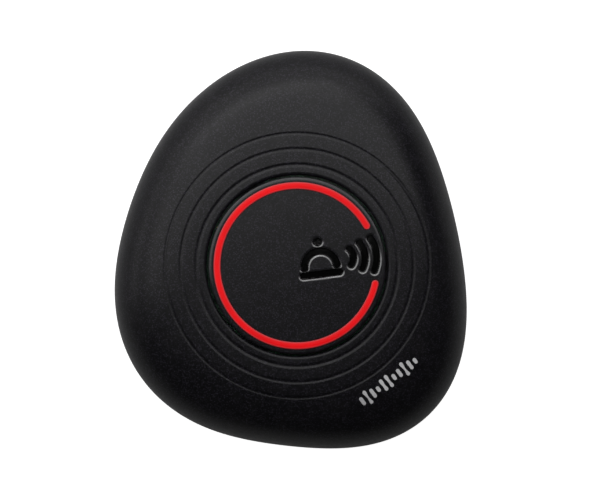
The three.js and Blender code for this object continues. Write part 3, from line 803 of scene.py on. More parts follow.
@dataclass(frozen=True)
class BoardFinish:
    """Solder mask over copper: tracks show through it as lighter lines, with bare pads here and there.

    Attributes:
        name: the material's name.
        mask: colour of the mask on bare board.
        track: colour of the mask over copper.
    """

    name: str
    mask: Colour
    track: Colour

    def make(self, effects: Effects) -> bpy.types.Material:
        """Builds the material: tracks are rings in square cells, pads are the cells' small middles.

        Args:
            effects: the shared effects.

        Returns:
            The material.
        """
        made = Material(self.name)
        bench = made.bench
        vector = bench.object_vector()
        squares = {"Vector": vector, "Scale": 320.0}
        reach = bench.add("TexVoronoi", squares, distance="CHEBYCHEV", feature="F1").outputs["Distance"]
        tracks = bench.spread(bench.maths("FRACT", bench.times(reach, 6.0)), 0.5, 0.6)
        pads = bench.spread(reach, 0.1, 0.06)
        grain = bench.group(effects.grain, {"Vector": vector, "Scale": 4000.0}).outputs["Height"]
        ground = bench.blend(tracks, self.mask, self.track)
        inputs = {
            "Base Color": bench.blend(pads, ground, GOLD_PAD),
            "Metallic": pads,
            "Roughness": bench.spread(grain, 0.3, 0.7, 0.22, 0.36),
        }
        bench.feed(made.shader, inputs)
        made.bump(bench.maths("ADD", bench.times(grain, 0.2), tracks), 0.6, 0.03 * MM)
        return made.material


@dataclass(frozen=True)
class SleeveFinish:
    """Battery cell: a printed sleeve with a band at one end, and bare metal past its ends.

    The mesh carries a point attribute, along, which runs from 0 at the flat end to 1 at the nub.

    Attributes:
        name: the material's name.
        colour: colour of the sleeve.
        band: colour of the band.
    """

    name: str
    colour: Colour
    band: Colour

    def make(self, effects: Effects) -> bpy.types.Material:
        """Builds the material: the band and its thin line, scuffs, and bare ends.

        Args:
            effects: the shared effects.

        Returns:
            The material.
        """
        made = Material(self.name)
        bench = made.bench
        along = bench.add("Attribute", attribute_name="along").outputs["Fac"]
        fine = bench.group(effects.grain, {"Vector": bench.object_vector(), "Scale": 3000.0})
        grain = fine.outputs["Height"]
        scuffs = bench.spread(bench.noise(bench.object_vector((1.0, 0.1, 1.0)), 1500.0, 4.0), 0.6, 0.8)
        banded = bench.blend(bench.spread(along, 0.72, 0.725), self.colour, self.band)
        line = bench.times(bench.spread(along, 0.695, 0.7), bench.spread(along, 0.712, 0.707))
        printed = bench.blend(line, banded, (0.85, 0.85, 0.83, 1.0))
        scuffed = bench.blend(bench.times(scuffs, 0.25), printed, (0.6, 0.6, 0.6, 1.0))
        bare = bench.maths("MAXIMUM", bench.spread(along, 0.012, 0.008), bench.spread(along, 0.968, 0.972))
        inputs = {
            "Base Color": bench.blend(bare, scuffed, BARE_METAL),
            "Metallic": bare,
            "Roughness": bench.spread(grain, 0.3, 0.7, 0.24, 0.38),
        }
        bench.feed(made.shader, inputs)
        made.bump(grain, 0.3, 0.01 * MM)
        return made.material


def grey(tone: float) -> Colour:
    """A neutral grey."""
    return (tone, tone, tone, 1.0)


class Finishes:
    """Every finish of the pager, each made once."""

    def __init__(self, effects: Effects) -> None:
        """Makes the materials.

        Args:
            effects: the shared effects.
        """
        black, specks = (0.0036, 0.0035, 0.0043, 1.0), (0.05, 0.045, 0.062, 1.0)
        soft = {"speck_share": 0.5, "rough": 0.33, "grain": 4200.0, "relief": 0.012 * MM}
        soft |= {"wear": 0.1, "dust": 0.03, "specular": 0.2}
        self.housing = MouldedFinish("soft_touch_housing", black, specks, **soft).make(effects)
        self.button = MouldedFinish("soft_touch_button", black, specks, **soft, polish=1.0).make(effects)
        sparked = {"colour": (0.006, 0.0059, 0.0066, 1.0), "speck": specks, "speck_share": 0.4, "rough": 0.56}
        sparked |= {"grain": 3600.0, "relief": 0.06 * MM, "wear": 0.3, "dust": 0.06, "specular": 0.28}
        self.base = MouldedFinish("sparked_base", **sparked).make(effects)
        rubber = {"speck_share": 0.1, "rough": 0.82, "grain": 2600.0, "relief": 0.04 * MM}
        rubber |= {"colour": (0.02, 0.02, 0.0205, 1.0), "speck": grey(0.06), "wear": 0.3, "dust": 0.35}
        self.rubber = MouldedFinish("foot_rubber", **rubber).make(effects)
        nylon = {"colour": (0.7, 0.69, 0.64, 1.0), "speck": (0.8, 0.79, 0.75, 1.0), "speck_share": 0.1}
        nylon |= {"rough": 0.45, "grain": 3000.0, "relief": 0.02 * MM, "wear": 0.1, "dust": 0.05}
        self.nylon = MouldedFinish("natural_nylon", **nylon).make(effects)
        epoxy = {"speck_share": 0.25, "rough": 0.55, "grain": 4200.0, "relief": 0.03 * MM}
        epoxy |= {"colour": (0.02, 0.02, 0.022, 1.0), "speck": grey(0.09), "wear": 0.4, "dust": 0.05}
        self.epoxy = MouldedFinish("moulded_epoxy", **epoxy).make(effects)
        ink = {"colour": (0.6, 0.6, 0.61, 1.0), "speck": grey(0.78), "speck_share": 0.7, "rough": 0.42}
        ink |= {"grain": 6500.0, "relief": 0.01 * MM, "wear": 0.0, "dust": 0.02}
        self.ink = MouldedFinish("silver_ink", **ink).make(effects)
        nickel, dulled = (0.62, 0.62, 0.63, 1.0), (0.42, 0.4, 0.37, 1.0)
        self.steel = MetalFinish("plated_steel", nickel, dulled).make(effects)
        even = (1.0, 1.0, 1.0)
        bright, tarnish = (0.6, 0.61, 0.63, 1.0), (0.36, 0.34, 0.32, 1.0)
        self.wire = MetalFinish("spring_wire", bright, tarnish, 0.22, even, 5000.0).make(effects)
        copper, burnt = (0.72, 0.33, 0.14, 1.0), (0.45, 0.2, 0.08, 1.0)
        self.copper = MetalFinish("enamelled_copper", copper, burnt, 0.2, even, 4000.0).make(effects)
        # the paler border colour is a painted highlight along the ring's edges
        red, highlight_border, core = (0.44, 0.003, 0.005, 1.0), (0.3, 0.07, 0.08, 1.0), (1.0, 0.004, 0.008, 1.0)
        self.light = GlowFinish("red_light_guide", red, highlight_border, core, 0.44).make(effects)
        mask, track = (0.008, 0.085, 0.035, 1.0), (0.014, 0.16, 0.062, 1.0)
        self.board = BoardFinish("solder_mask", mask, track).make(effects)
        self.cell = SleeveFinish("cell_sleeve", (0.03, 0.1, 0.33, 1.0), grey(0.5)).make(effects)


# ---------------------------------------------------------------------------------------------------------
# The pebble's shape
# ---------------------------------------------------------------------------------------------------------


@dataclass(frozen=True)
class Pebble:
    """Outline and dome of the housing, about the button's axis.

    The outline's radius is a Fourier series of the angle. Between the lip of the opening and the rim, the
    dome falls by 1 - (1 - s^p)^(1/q) of its height, with s the share of the way out. A cone of a set slope is
    added near the lip, which fades by (1 - s)^2.

    Attributes:
        centre: x and y of the button's axis.
        terms: mean radius, then the cosine and sine part of each wave.
        rim: height of the widest section.
        shoulder: height of the dome beside the button.
        lip: radius of the rounded lip round the opening.
        power: p of the dome's formula.
        squareness: q of the dome's formula.
        cone: slope of the cone at the lip.
    """

    centre: Array
    terms: Array
    rim: float
    shoulder: float
    lip: float
    power: float = 2.6
    squareness: float = 2.2
    cone: float = 0.055

    @staticmethod
    def _waves(angle: Array, count: int) -> Array:
        """One, then the cosine and sine of each multiple of an angle.

        Args:
            angle: the angles.
            count: how many multiples.

        Returns:
            The terms, along a new last axis.
        """
        columns = [np.ones_like(angle)]
        for k in range(1, count + 1):
            columns += [np.cos(k * angle), np.sin(k * angle)]
        return np.stack(columns, axis=-1)

    @classmethod
    def from_frame(cls, lip: float, waves: int = 6) -> "Pebble":
        """Reads the shape off the CAD shells.

        The rim's points are the outermost at each angle of the lower shell's widest level. The series is
        their least-squares fit.

        Args:
            lip: radius of the opening's lip.
            waves: waves in the series.

        Returns:
            The pebble.
        """
        centre = middle_of("switch_plunger")[:2]
        points = node_points("lower_housing")
        offset = points[:, :2] - centre
        radius = np.hypot(*offset.T)
        level = np.abs(points[:, 2] - points[radius.argmax(), 2]) < 10 * MERGE_DISTANCE
        turns = np.round(np.arctan2(offset[level, 1], offset[level, 0]), 4)
        angles, group = np.unique(turns, return_inverse=True)
        outermost = np.zeros(len(angles))
        np.maximum.at(outermost, group, radius[level])
        terms = np.linalg.lstsq(cls._waves(angles, waves), outermost, rcond=None)[0]
        low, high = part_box("upper_housing")
        return cls(centre, terms, low.z, high.z, lip)

    def radius(self, angle: Array) -> Array:
        """Radius of the outline at an angle."""
        return self._waves(angle, len(self.terms) // 2) @ self.terms

    def height(self, angle: Array, radius: Array) -> Array:
        """Height of the dome, without its grooves.

        Args:
            angle: angle of each point about the button's axis.
            radius: its distance from that axis.

        Returns:
            The heights.
        """
        share = np.clip((radius - self.lip) / (self.radius(angle) - self.lip), 0.0, 1.0)
        fall = 1 - (1 - share**self.power) ** (1 / self.squareness)
        return self.shoulder - (self.shoulder - self.rim) * fall - self.cone_drop(angle, radius)

    def cone_drop(self, angle: Array, radius: Array) -> Array:
        """How far the cone near the lip lowers the dome.

        Args:
            angle: angle of each point about the button's axis.
            radius: its distance from that axis.

        Returns:
            The drops.
        """
        span = self.radius(angle) - self.lip
        share = np.clip((radius - self.lip) / span, 0.0, 1.0)
        return self.cone * span * share * (1 - share) ** 2

    def points(self, radius: Array, angle: Array, height: Array) -> Array:
        """Points in the CAD frame for radii, angles and heights about the button's axis."""
        return about_axis(self.centre, radius, angle, height)


@dataclass(frozen=True)
class Groove:
    """One ripple groove.

    Attributes:
        radius: radius of its middle line.
        width: its width.
        depth: its depth.
    """

    radius: float
    width: float
    depth: float


# ---------------------------------------------------------------------------------------------------------
# Sub-assemblies
# ---------------------------------------------------------------------------------------------------------

HOUSING_SCREWS = [f"housing_screw_{k}" for k in (1, 2, 3)]
BOARD_SCREWS = [f"board_screw_{k}" for k in (1, 2, 3, 4)]
FEET = [f"foot_{k}" for k in (1, 2, 3, 4)]
RETURN_SPRINGS = [f"return_spring_{k}" for k in (1, 2, 3)]
TAB_OFFSET = 6.0 * MM  # x of the battery door's hinge tabs and of their notches


@dataclass(frozen=True)
class UpperHousing:
    """Upper shell: domed, with a round opening, three ripple grooves, a skirt at the seam and screw bosses.

    Attributes:
        pebble: its shape.
        grooves: the ripple grooves.
        lip_round: radius of the opening's lip.
        collar: wall of the collar under the opening.
        wall: wall of the dome.
        skirt: wall outside the lap joint.
        rebate: depth of the lap joint.
        seam_round: radius of the edge at the seam.
        ring_step: distance between rings where the grooves are.
        boss: radius of the tubes for the housing's screws.
        board_boss: radius of the tubes for the board's screws.
        columns: points in each ring.
    """

    pebble: Pebble
    grooves: tuple[Groove, ...]
    lip_round: float = 0.7 * MM
    collar: float = 1.4 * MM
    wall: float = 2.0 * MM
    skirt: float = 0.9 * MM
    rebate: float = 2.2 * MM
    seam_round: float = 0.2 * MM
    ring_step: float = 0.08 * MM
    boss: float = 3.3 * MM
    board_boss: float = 2.3 * MM
    columns: int = 360

    def ripple(self, radius: Array) -> Array:
        """Depth of the grooves: each is a hump of cos(pi x / width)^2 across its width.

        Args:
            radius: distances from the button's axis.

        Returns:
            The depths.
        """
        depth = np.zeros_like(radius)
        for groove in self.grooves:
            across = np.clip((radius - groove.radius) / groove.width, -0.5, 0.5)
            depth += groove.depth * np.cos(math.pi * across) ** 2
        return depth

    def skin(self) -> Grid:
        """The whole shell as one looped skin.

        The rings run up the opening's wall, over its lip (a quarter circle), across the grooves, down the
        dome with even steps of the angle whose sine squared is s^p, in under the skirt, up the lap joint,
        back along the ceiling and down the collar.

        Returns:
            The skin.
        """
        pebble = self.pebble
        angle = np.arange(self.columns) * TURN / self.columns
        flat = np.ones_like(angle)
        outline = pebble.radius(angle)
        low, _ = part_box("upper_housing")
        opening, foot = pebble.lip - self.lip_round, self.collar_foot()
        turn = np.linspace(0.0, QUARTER, 9)[:, None]
        radii = [opening * flat[None], pebble.lip - self.lip_round * np.cos(turn) * flat]
        heights = [foot * flat[None], pebble.shoulder - self.lip_round * (1 - np.sin(turn)) * flat]
        last = self.grooves[-1]
        field = np.arange(pebble.lip + 0.1 * MM, last.radius + last.width, self.ring_step)[:, None] * flat
        radii.append(field)
        heights.append(pebble.height(angle, field) - self.ripple(field))
        start = (field[-1] - pebble.lip) / (outline - pebble.lip)
        first = np.arcsin(start ** (pebble.power / 2))
        swing = first + (QUARTER - first) * np.linspace(0.0, 1.0, 42)[1:, None]
        share = np.sin(swing) ** (2 / pebble.power)
        radii.append(pebble.lip + (outline - pebble.lip) * share)
        drop = pebble.shoulder - pebble.rim - self.seam_round
        fall = 1 - np.cos(swing) ** (2 / pebble.squareness)
        heights.append(pebble.shoulder - drop * fall - pebble.cone_drop(angle, radii[-1]))
        under = np.linspace(0.0, math.pi / 2, 5)[1:, None]
        radii.append(outline - self.seam_round * (1 - np.cos(under)))
        heights.append(pebble.rim + self.seam_round * (1 - np.sin(under)) * flat)
        joint_top = pebble.rim + self.rebate
        radii += [(outline - self.skirt)[None]] * 2
        heights += [low.z * flat[None], joint_top * flat[None]]
        ceiling = pebble.shoulder - self.wall
        back = np.linspace(math.pi / 2, 0.0, 16)[:, None]
        inner = np.sin(back) ** (2 / pebble.power)
        collar = opening + self.collar
        radii.append(collar + (outline - self.wall - collar) * inner)
        heights.append(ceiling - (ceiling - joint_top) * (1 - np.cos(back) ** (2 / pebble.squareness)) * flat)
        radii.append(collar * flat[None])
        heights.append(foot * flat[None])
        return Grid(pebble.points(np.concatenate(radii), angle, np.concatenate(heights)), looped=True)

    @staticmethod
    def collar_foot() -> float:
        """Reads the height of the collar's foot, just over the hooks of the button, off the CAD shell.

        Returns:
            The height.
        """
        points = node_points("upper_housing")
        centre = middle_of("switch_plunger")[:2]
        near = np.hypot(*(points[:, :2] - centre).T)
        return float(points[near < near.min() + 0.1 * MM, 2].min())

    def bosses(self, screws: Sequence[str], radius: float, foot: float) -> list[Grid]:
        """Tubes that the screws bite into, from a foot level up into the middle of the dome's wall.

        The bore is a little under the thread's own size: 0.54 of the tube for a board screw, whose head is
        under 4 mm wide, and 0.4 for a housing screw.

        Args:
            screws: CAD nodes of the screws.
            radius: radius of a tube.
            foot: height of its foot.

        Returns:
            One looped skin for each screw.
        """
        made = []
        for screw in screws:
            place = middle_of(screw)[:2]
            low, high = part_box(screw)
            offset = place - self.pebble.centre
            angle = np.array([math.atan2(offset[1], offset[0])])
            out = np.array([np.hypot(*offset) + radius])
            top = float(self.pebble.height(angle, out)[0]) - self.wall / 2
            bore = radius * (0.54 if high.x - low.x < 4 * MM else 0.4)
            end = min(high.z + 0.3 * MM, top - 0.3 * MM)
            inside = [(0, end, 0), (bore, end, 0), (bore, foot, 0)]
            outside = [(radius, foot, 0.2 * MM), (radius, top, 0), (0, top, 0)]
            made.append(lathed([*inside, *outside], place, 32, 3))
        return made

    def build(self, finishes: Finishes) -> None:
        """Makes the shell and its bosses.

        Args:
            finishes: the pager's finishes.
        """
        shell = mesh_piece("upper_housing_shell", [self.skin()])
        place_piece(shell, "housing", finishes.housing, ["upper_housing"])
        board_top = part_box("circuit_board")[1].z
        tubes = self.bosses(HOUSING_SCREWS, self.boss, self.pebble.rim)
        tubes += self.bosses(BOARD_SCREWS, self.board_boss, board_top + 0.05 * MM)
        bosses = mesh_piece("upper_housing_bosses", tubes)
        place_piece(bosses, "housing", finishes.housing, ["upper_housing"])


@dataclass(frozen=True)
class LowerHousing:
    """Lower shell: a shallow bowl with a flat base, the battery bay, screw wells and foot recesses.

    Attributes:
        pebble: its outline.
        base_inset: how far the base is drawn in from the widest section.
        wall: wall of the bowl.
        floor: thickness of the base.
        skirt: upper shell's wall outside the lap joint.
        tongue_gap: gap outside the tongue.
        seam: gap between the shells, under the widest section.
        edge: softened edge at the seam.
        bay_wall: wall of the battery bay.
        ledge: width of the ledge that the door's rim rests on.
        boss: radius of the screw bosses.
        columns: points in each ring.
    """

    pebble: Pebble
    base_inset: float = 6.0 * MM
    wall: float = 2.0 * MM
    floor: float = 2.4 * MM
    skirt: float = 0.9 * MM
    tongue_gap: float = 0.2 * MM
    seam: float = 0.35 * MM
    edge: float = 0.2 * MM
    bay_wall: float = 1.2 * MM
    ledge: float = 1.0 * MM
    boss: float = 3.3 * MM
    columns: int = 240

    def bowl(self) -> Grid:
        """The bowl as one closed skin.

        From the middle of the base out: radius = outline - inset (1 - cos t) and height = seam - depth sin t,
        a quarter ellipse, then the softened edge, the tongue, and the same ellipse inside.

        Returns:
            The skin.
        """
        low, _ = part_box("lower_housing")
        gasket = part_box("housing_gasket")[0].z
        angle = np.arange(self.columns) * TURN / self.columns
        outline = self.pebble.radius(angle)
        seam = self.pebble.rim - self.seam
        t = np.linspace(QUARTER, 0.0, 20)[:, None]
        flat = np.ones_like(angle)[None]
        radii = [outline - self.base_inset * (1 - np.cos(t))]
        heights = [seam - self.edge - (seam - self.edge - low.z) * np.sin(t) * flat]
        under = np.linspace(0.0, math.pi / 2, 5)[1:, None]
        radii.append(outline - self.edge * (1 - np.cos(under)))
        heights.append(seam - self.edge * (1 - np.sin(under)) * flat)
        tongue = outline - self.skirt - self.tongue_gap
        tongue_top = gasket - 0.05 * MM
        radii += [tongue[None], tongue[None], (outline - self.wall)[None]]
        heights += [seam * flat, tongue_top * flat, tongue_top * flat]
        back = t[::-1]
        floor_top = low.z + self.floor
        radii.append(outline - self.wall - self.base_inset * (1 - np.cos(back)))
        heights.append(seam - (seam - floor_top) * np.sin(back) * flat)
        return Grid(self.pebble.points(np.concatenate(radii), angle, np.concatenate(heights)))

    def build(self, finishes: Finishes) -> None:
        """Makes the bowl, joins the bay and the screw bosses, and cuts the openings.

        Args:
            finishes: the pager's finishes.
        """
        low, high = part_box("lower_housing")
        door_low, door_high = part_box("battery_door")
        half = (door_high.x - door_low.x) / 2 + 0.25 * MM - self.ledge
        near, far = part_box("contact_link")[0].y - 0.05 * MM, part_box("contact_positive")[1].y + 0.05 * MM
        shell = mesh_piece("lower_housing_shell", [self.bowl()])
        wall, start, top = self.bay_wall, low.z + 0.2 * MM, self.pebble.rim - 0.3 * MM
        bay = bar(0.0, half + wall, (near - wall, far + wall), (start, high.z), 0.8 * MM, 0.3 * MM)
        column = [(0, start, 0), (self.boss, start, 0), (self.boss, top, 0.3 * MM), (0, top, 0)]
        bosses = [lathed(column, middle_of(screw), 40) for screw in HOUSING_SCREWS]
        carve(shell, [bay, *bosses], Carving.JOIN)
        carve(shell, self._cuts(half, near, far), Carving.CUT)
        place_piece(shell, "housing", finishes.base, ["lower_housing"])

    def _cuts(self, half: float, near: float, far: float) -> list[Grid]:
        """Bodies that cut the bay, door recess, tab notches, thumb notch, screw wells and foot recesses.

        Args:
            half: half the bay's width.
            near: y of the bay's hinge end.
            far: y of its other end.

        Returns:
            The cutting bodies.
        """
        low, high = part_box("lower_housing")
        base, below, ledge = low.z, low.z - MM, self.ledge
        recess = (near - ledge, far + ledge)
        cuts = [
            bar(0.0, half, (near, far), (below, high.z - MM), 0.3 * MM),
            bar(0.0, half + ledge, recess, (below, base + 1.65 * MM), 2.0 * MM),
        ]
        notch, notch_z = (near - 2.75 * MM, near + 0.05 * MM), (base + 0.8 * MM, base + 2.7 * MM)
        cuts += [bar(side * TAB_OFFSET, 2.8 * MM, notch, notch_z, 0.2 * MM) for side in (-1, 1)]
        slot, slot_z = (far - 0.65 * MM, far + 0.25 * MM), (high.z - 2 * MM, high.z + MM)
        for node in ("contact_positive", "contact_negative"):
            cuts.append(bar(middle_of(node)[0], 1.5 * MM, slot, slot_z, 0.1 * MM))
        thumb, reach = np.linspace(0.0, QUARTER, 9), 4.5 * MM
        dish = np.stack([reach * np.sin(thumb), base + 0.8 * MM * np.cos(thumb)], axis=1)
        dish = np.concatenate([dish, [[reach, below], [0, below]]])
        cuts.append(turned(dish, np.array([0.0, far + ledge]), 48))
        for screw in HOUSING_SCREWS:
            seat, well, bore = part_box(screw)[0].z + 1.5 * MM, 2.7 * MM, 1.55 * MM
            mouth = [(0, below, 0), (well + 0.2 * MM, below, 0), (well + 0.2 * MM, base, 0)]
            walls = [(well, base + 0.2 * MM, 0), (well, seat, 0), (bore, seat, 0), (bore, high.z, 0)]
            cuts.append(lathed([*mouth, *walls, (0, high.z, 0)], middle_of(screw), 48))
        for foot in FEET:
            edge, lead, top = 4.15 * MM, 0.15 * MM, base + 0.8 * MM
            mouth = [(0, below, 0), (edge + lead, below, 0), (edge + lead, base, 0), (edge, base + lead, 0)]
            cuts.append(lathed([*mouth, (edge, top, 0), (0, top, 0)], middle_of(foot), 64))
        return cuts


@dataclass(frozen=True)
class Stroke:
    """One stroke of the legend: a stretch of a circle, a straight bar or a dot.

    Attributes:
        x: middle of the circle or of the bar.
        y: the same.
        radius: radius of the circle; a bar's half length, and 0 for a dot.
        width: width of the stroke.
        start: angle where the stretch starts.
        end: angle where it ends.
        straight: True for a bar along x.
    """

    x: float
    y: float
    radius: float
    width: float
    start: float = 0.0
    end: float = 0.0
    straight: bool = False

    def distance(self, x: Array, y: Array) -> Array:
        """Distance from points to the stroke's edge, negative inside.

        For a bar it is the distance to the nearest point of its middle line. For a stretch of a circle it is
        the distance to the circle where the angle is in the stretch, and to its nearer end elsewhere. Half
        the width comes off.

        Args:
            x: places along x.
            y: places along y.

        Returns:
            The distances.
        """
        dx, dy = x - self.x, y - self.y
        if self.straight:
            return np.hypot(np.maximum(np.abs(dx) - self.radius, 0.0), dy) - self.width / 2
        half, turn = (self.end - self.start) / 2, (self.end + self.start) / 2
        across = (np.arctan2(dy, dx) - turn + math.pi) % TURN - math.pi
        nearest = turn + np.clip(across, -half, half)
        past_x, past_y = dx - self.radius * np.cos(nearest), dy - self.radius * np.sin(nearest)
        return np.hypot(past_x, past_y) - self.width / 2


@dataclass(frozen=True)
class Legend:
    """Engraved sign on the button: a service bell and three sound waves.

    Attributes:
        x: its middle from the button's axis.
        y: the same.
        tilt: angle of its base line.
        depth: depth of its strokes.
        wall: how far in from its edge a stroke reaches its depth.
        chamfer: width of the chamfer outside a stroke.
        slope: slope of the chamfer.
    """

    x: float = 9.4 * MM
    y: float = 1.55 * MM
    tilt: float = 7.0 * DEGREE
    depth: float = 0.5 * MM
    wall: float = 0.12 * MM
    chamfer: float = 0.34 * MM
    slope: float = 0.45

    def strokes(self) -> list[Stroke]:
        """Lays out the sign's strokes about its own middle.

        Returns:
            The bell, its base, its knob and the waves.
        """
        bell = Stroke(-4.5 * MM, -1.4 * MM, 3.5 * MM, 1.6 * MM, 0.0, math.pi)
        base = Stroke(-4.5 * MM, -2.85 * MM, 3.9 * MM, 1.6 * MM, straight=True)
        knob = Stroke(-4.5 * MM, 4.1 * MM, 0.0, 1.9 * MM)
        waves = [
            Stroke(0.2 * MM, 0.0, radius * MM, 1.5 * MM, -half * DEGREE, half * DEGREE)
            for radius, half in ((2.6, 42.0), (5.1, 34.0), (7.6, 28.0))
        ]
        return [bell, base, knob, *waves]

    def sink(self, x: Array, y: Array) -> Array:
        """Depth of the sign at points about the button's axis.

        Outside the strokes' walls a flat chamfer of a set slope leads down to them. The walls are steep and
        smooth, (3 - 2 s) s^2 of the depth at share s of the way in.

        Args:
            x: places along x.
            y: places along y.

        Returns:
            The depths.
        """
        dx, dy = x - self.x, y - self.y
        across = dx * math.cos(self.tilt) + dy * math.sin(self.tilt)
        up = -dx * math.sin(self.tilt) + dy * math.cos(self.tilt)
        edge = np.min([stroke.distance(across, up) for stroke in self.strokes()], axis=0)
        share = np.clip(-edge / self.wall, 0.0, 1.0)
        chamfer = self.slope * np.clip(self.chamfer - np.maximum(edge, 0.0), 0.0, self.chamfer)
        return chamfer + (self.depth - self.slope * self.chamfer) * share * share * (3 - 2 * share)


@dataclass(frozen=True)
class RingShape:
    """The light ring's C.

    Attributes:
        radius: radius of its middle line.
        width: its width.
        start: angle where its middle line starts.
        end: angle where it ends.
    """

    radius: float
    width: float
    start: float
    end: float

    def distance(self, radius: Array, angle: Array) -> Array:
        """Distance to the ring's edge, negative inside, from points about the button's axis."""
        stroke = Stroke(0.0, 0.0, self.radius, self.width, self.start, self.end)
        return stroke.distance(radius * np.cos(angle), radius * np.sin(angle))


@dataclass(frozen=True)
class ButtonCap:
    """Push button: a crowned disc with an engraved sign and the ring's groove, over a skirt with hooks.

    Attributes:
        centre: x and y of its axis.
        legend: the engraved sign.
        ring: the light ring's shape.
        crown: how far the edge lies under the middle.
        edge: width of the disc's rounded edge.
        edge_drop: how far the edge falls.
        thickness: thickness of the disc.
        groove: depth of the light ring's groove.
        skirt: wall of the skirt.
        ring_step: distance between the disc's rings.
        shine: gloss of the disc's edge, 0 to 1.
    """

    centre: Array
    legend: Legend
    ring: RingShape
    crown: float = 0.5 * MM
    edge: float = 0.7 * MM
    edge_drop: float = 0.36 * MM
    thickness: float = 2.0 * MM
    groove: float = 1.05 * MM
    skirt: float = 0.85 * MM
    ring_step: float = 0.1 * MM
    shine: float = 0.2

    @property
    def radius(self) -> float:
        """Radius of the disc, from the CAD cap."""
        low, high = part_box("button_cap")
        return (high.y - low.y) / 2

    def disc(self) -> Grid:
        """The disc as one closed skin.

        Height = top - crown (r / R)^2 - sign - groove on a polar grid whose angles are fine where the sign
        is, then an edge that is a quarter of an ellipse, the rim and the flat underside.

        Returns:
            The skin.
        """
        top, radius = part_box("button_cap")[1].z, self.radius
        angle = np.concatenate([np.arange(-22.0, 42.0, 0.25), np.arange(42.0, 338.0, 2.0)]) * DEGREE
        flat = np.ones_like(angle)
        start = radius - self.edge
        near, far = self.ring.radius - self.ring.width / 2, self.ring.radius + self.ring.width / 2
        steps = np.array([-0.09, -0.06, -0.03, 0.0, 0.03]) * MM
        even = np.arange(self.ring_step, start, self.ring_step)
        r = np.concatenate([even, near + steps, far - steps, [start]])
        r = np.unique(np.round(r, 7))[:, None] * flat
        groove_share = np.clip(0.5 - (self.ring.distance(r, angle) - 0.05 * MM) / (0.06 * MM), 0.0, 1.0)
        sign = self.legend.sink(r * np.cos(angle), r * np.sin(angle))
        z = top - self.crown * (r / radius) ** 2 - sign - self.groove * groove_share
        turn = np.linspace(0.0, QUARTER, 9)[1:, None]
        edge_top = top - self.crown * (start / radius) ** 2
        rim_r = start + self.edge * np.sin(turn) * flat
        rim_z = edge_top - self.edge_drop * (1 - np.cos(turn)) * flat
        under = top - self.thickness
        radii = np.concatenate([r, rim_r, radius * flat[None]])
        heights = np.concatenate([z, rim_z, under * flat[None]])
        return Grid(about_axis(self.centre, radii, angle, heights))

    def underframe(self) -> list[Grid]:
        """Skirt, hooks, switch boss and spring pegs, all under the disc.

        Returns:
            One closed skin for each.
        """
        low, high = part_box("button_cap")
        under, foot = high.z - self.thickness, low.z
        outer, inner = self.radius, self.radius - self.skirt
        outside = [(outer, under), (outer, foot + 0.1 * MM), (outer - 0.1 * MM, foot)]
        skirt = np.array([*outside, (inner, foot), (inner, under)])
        made = [turned(skirt, self.centre, 120, looped=True)]
        reach = outer + 0.95 * MM
        hook = np.array([(outer, foot), (reach, foot), (reach, foot + 0.45 * MM), (outer, foot + 0.8 * MM)])
        for place in (0.0, 120.0, 240.0):
            angle = (place + np.linspace(-9.0, 9.0, 9)) * DEGREE
            made.append(Grid(about_axis(self.centre, hook[:, 0], angle[:, None], hook[:, 1])))
        boss, boss_foot = 2.3 * MM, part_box("switch_plunger")[1].z + 0.05 * MM
        corners = [(0, boss_foot, 0), (boss, boss_foot, 0.05 * MM), (boss, under, 0), (0, under, 0)]
        made.append(lathed(corners, self.centre, 40))
        peg, peg_foot = 1.1 * MM, under - 0.8 * MM
        corners = [(0, peg_foot, 0), (peg, peg_foot, 0.25 * MM), (peg, under, 0), (0, under, 0)]
        made += [lathed(corners, coil_axis(spring), 32) for spring in RETURN_SPRINGS]
        return made

    def build(self, finishes: Finishes) -> None:
        """Makes the disc and what hangs under it.

        The finish reads two numbers at each vertex of the disc's top: polished, on the sign's chamfers and
        the disc's edge, and pit, inside the sign's strokes, where the finish paints their shade near black.

        Args:
            finishes: the pager's finishes.
        """
        disc = mesh_piece("button_cap_disc", [self.disc()])
        x, y, z = points_of(disc.data).T
        dx, dy = x - self.centre[0], y - self.centre[1]
        sunk = self.legend.sink(dx, dy) / self.legend.depth
        # mask of the strokes' insides, which the finish paints near black as painted shade
        shaded_pit = np.clip((sunk - 0.3) / 0.1, 0.0, 1.0)
        edge = np.clip((np.hypot(dx, dy) - self.radius + self.edge) / (0.1 * MM), 0.0, self.shine)
        polished = np.maximum(np.clip(30 * sunk, 0.0, 1.0) - shaded_pit, edge)
        on_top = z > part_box("button_cap")[1].z - self.thickness / 2
        write_attribute(disc, "polished", np.where(on_top, polished, 0.0))
        write_attribute(disc, "shaded_pit", np.where(on_top, shaded_pit, 0.0))
        place_piece(disc, "button", finishes.button, ["button_cap"])
        underframe = mesh_piece("button_cap_underframe", self.underframe())
        place_piece(underframe, "button", finishes.epoxy, ["button_cap"])


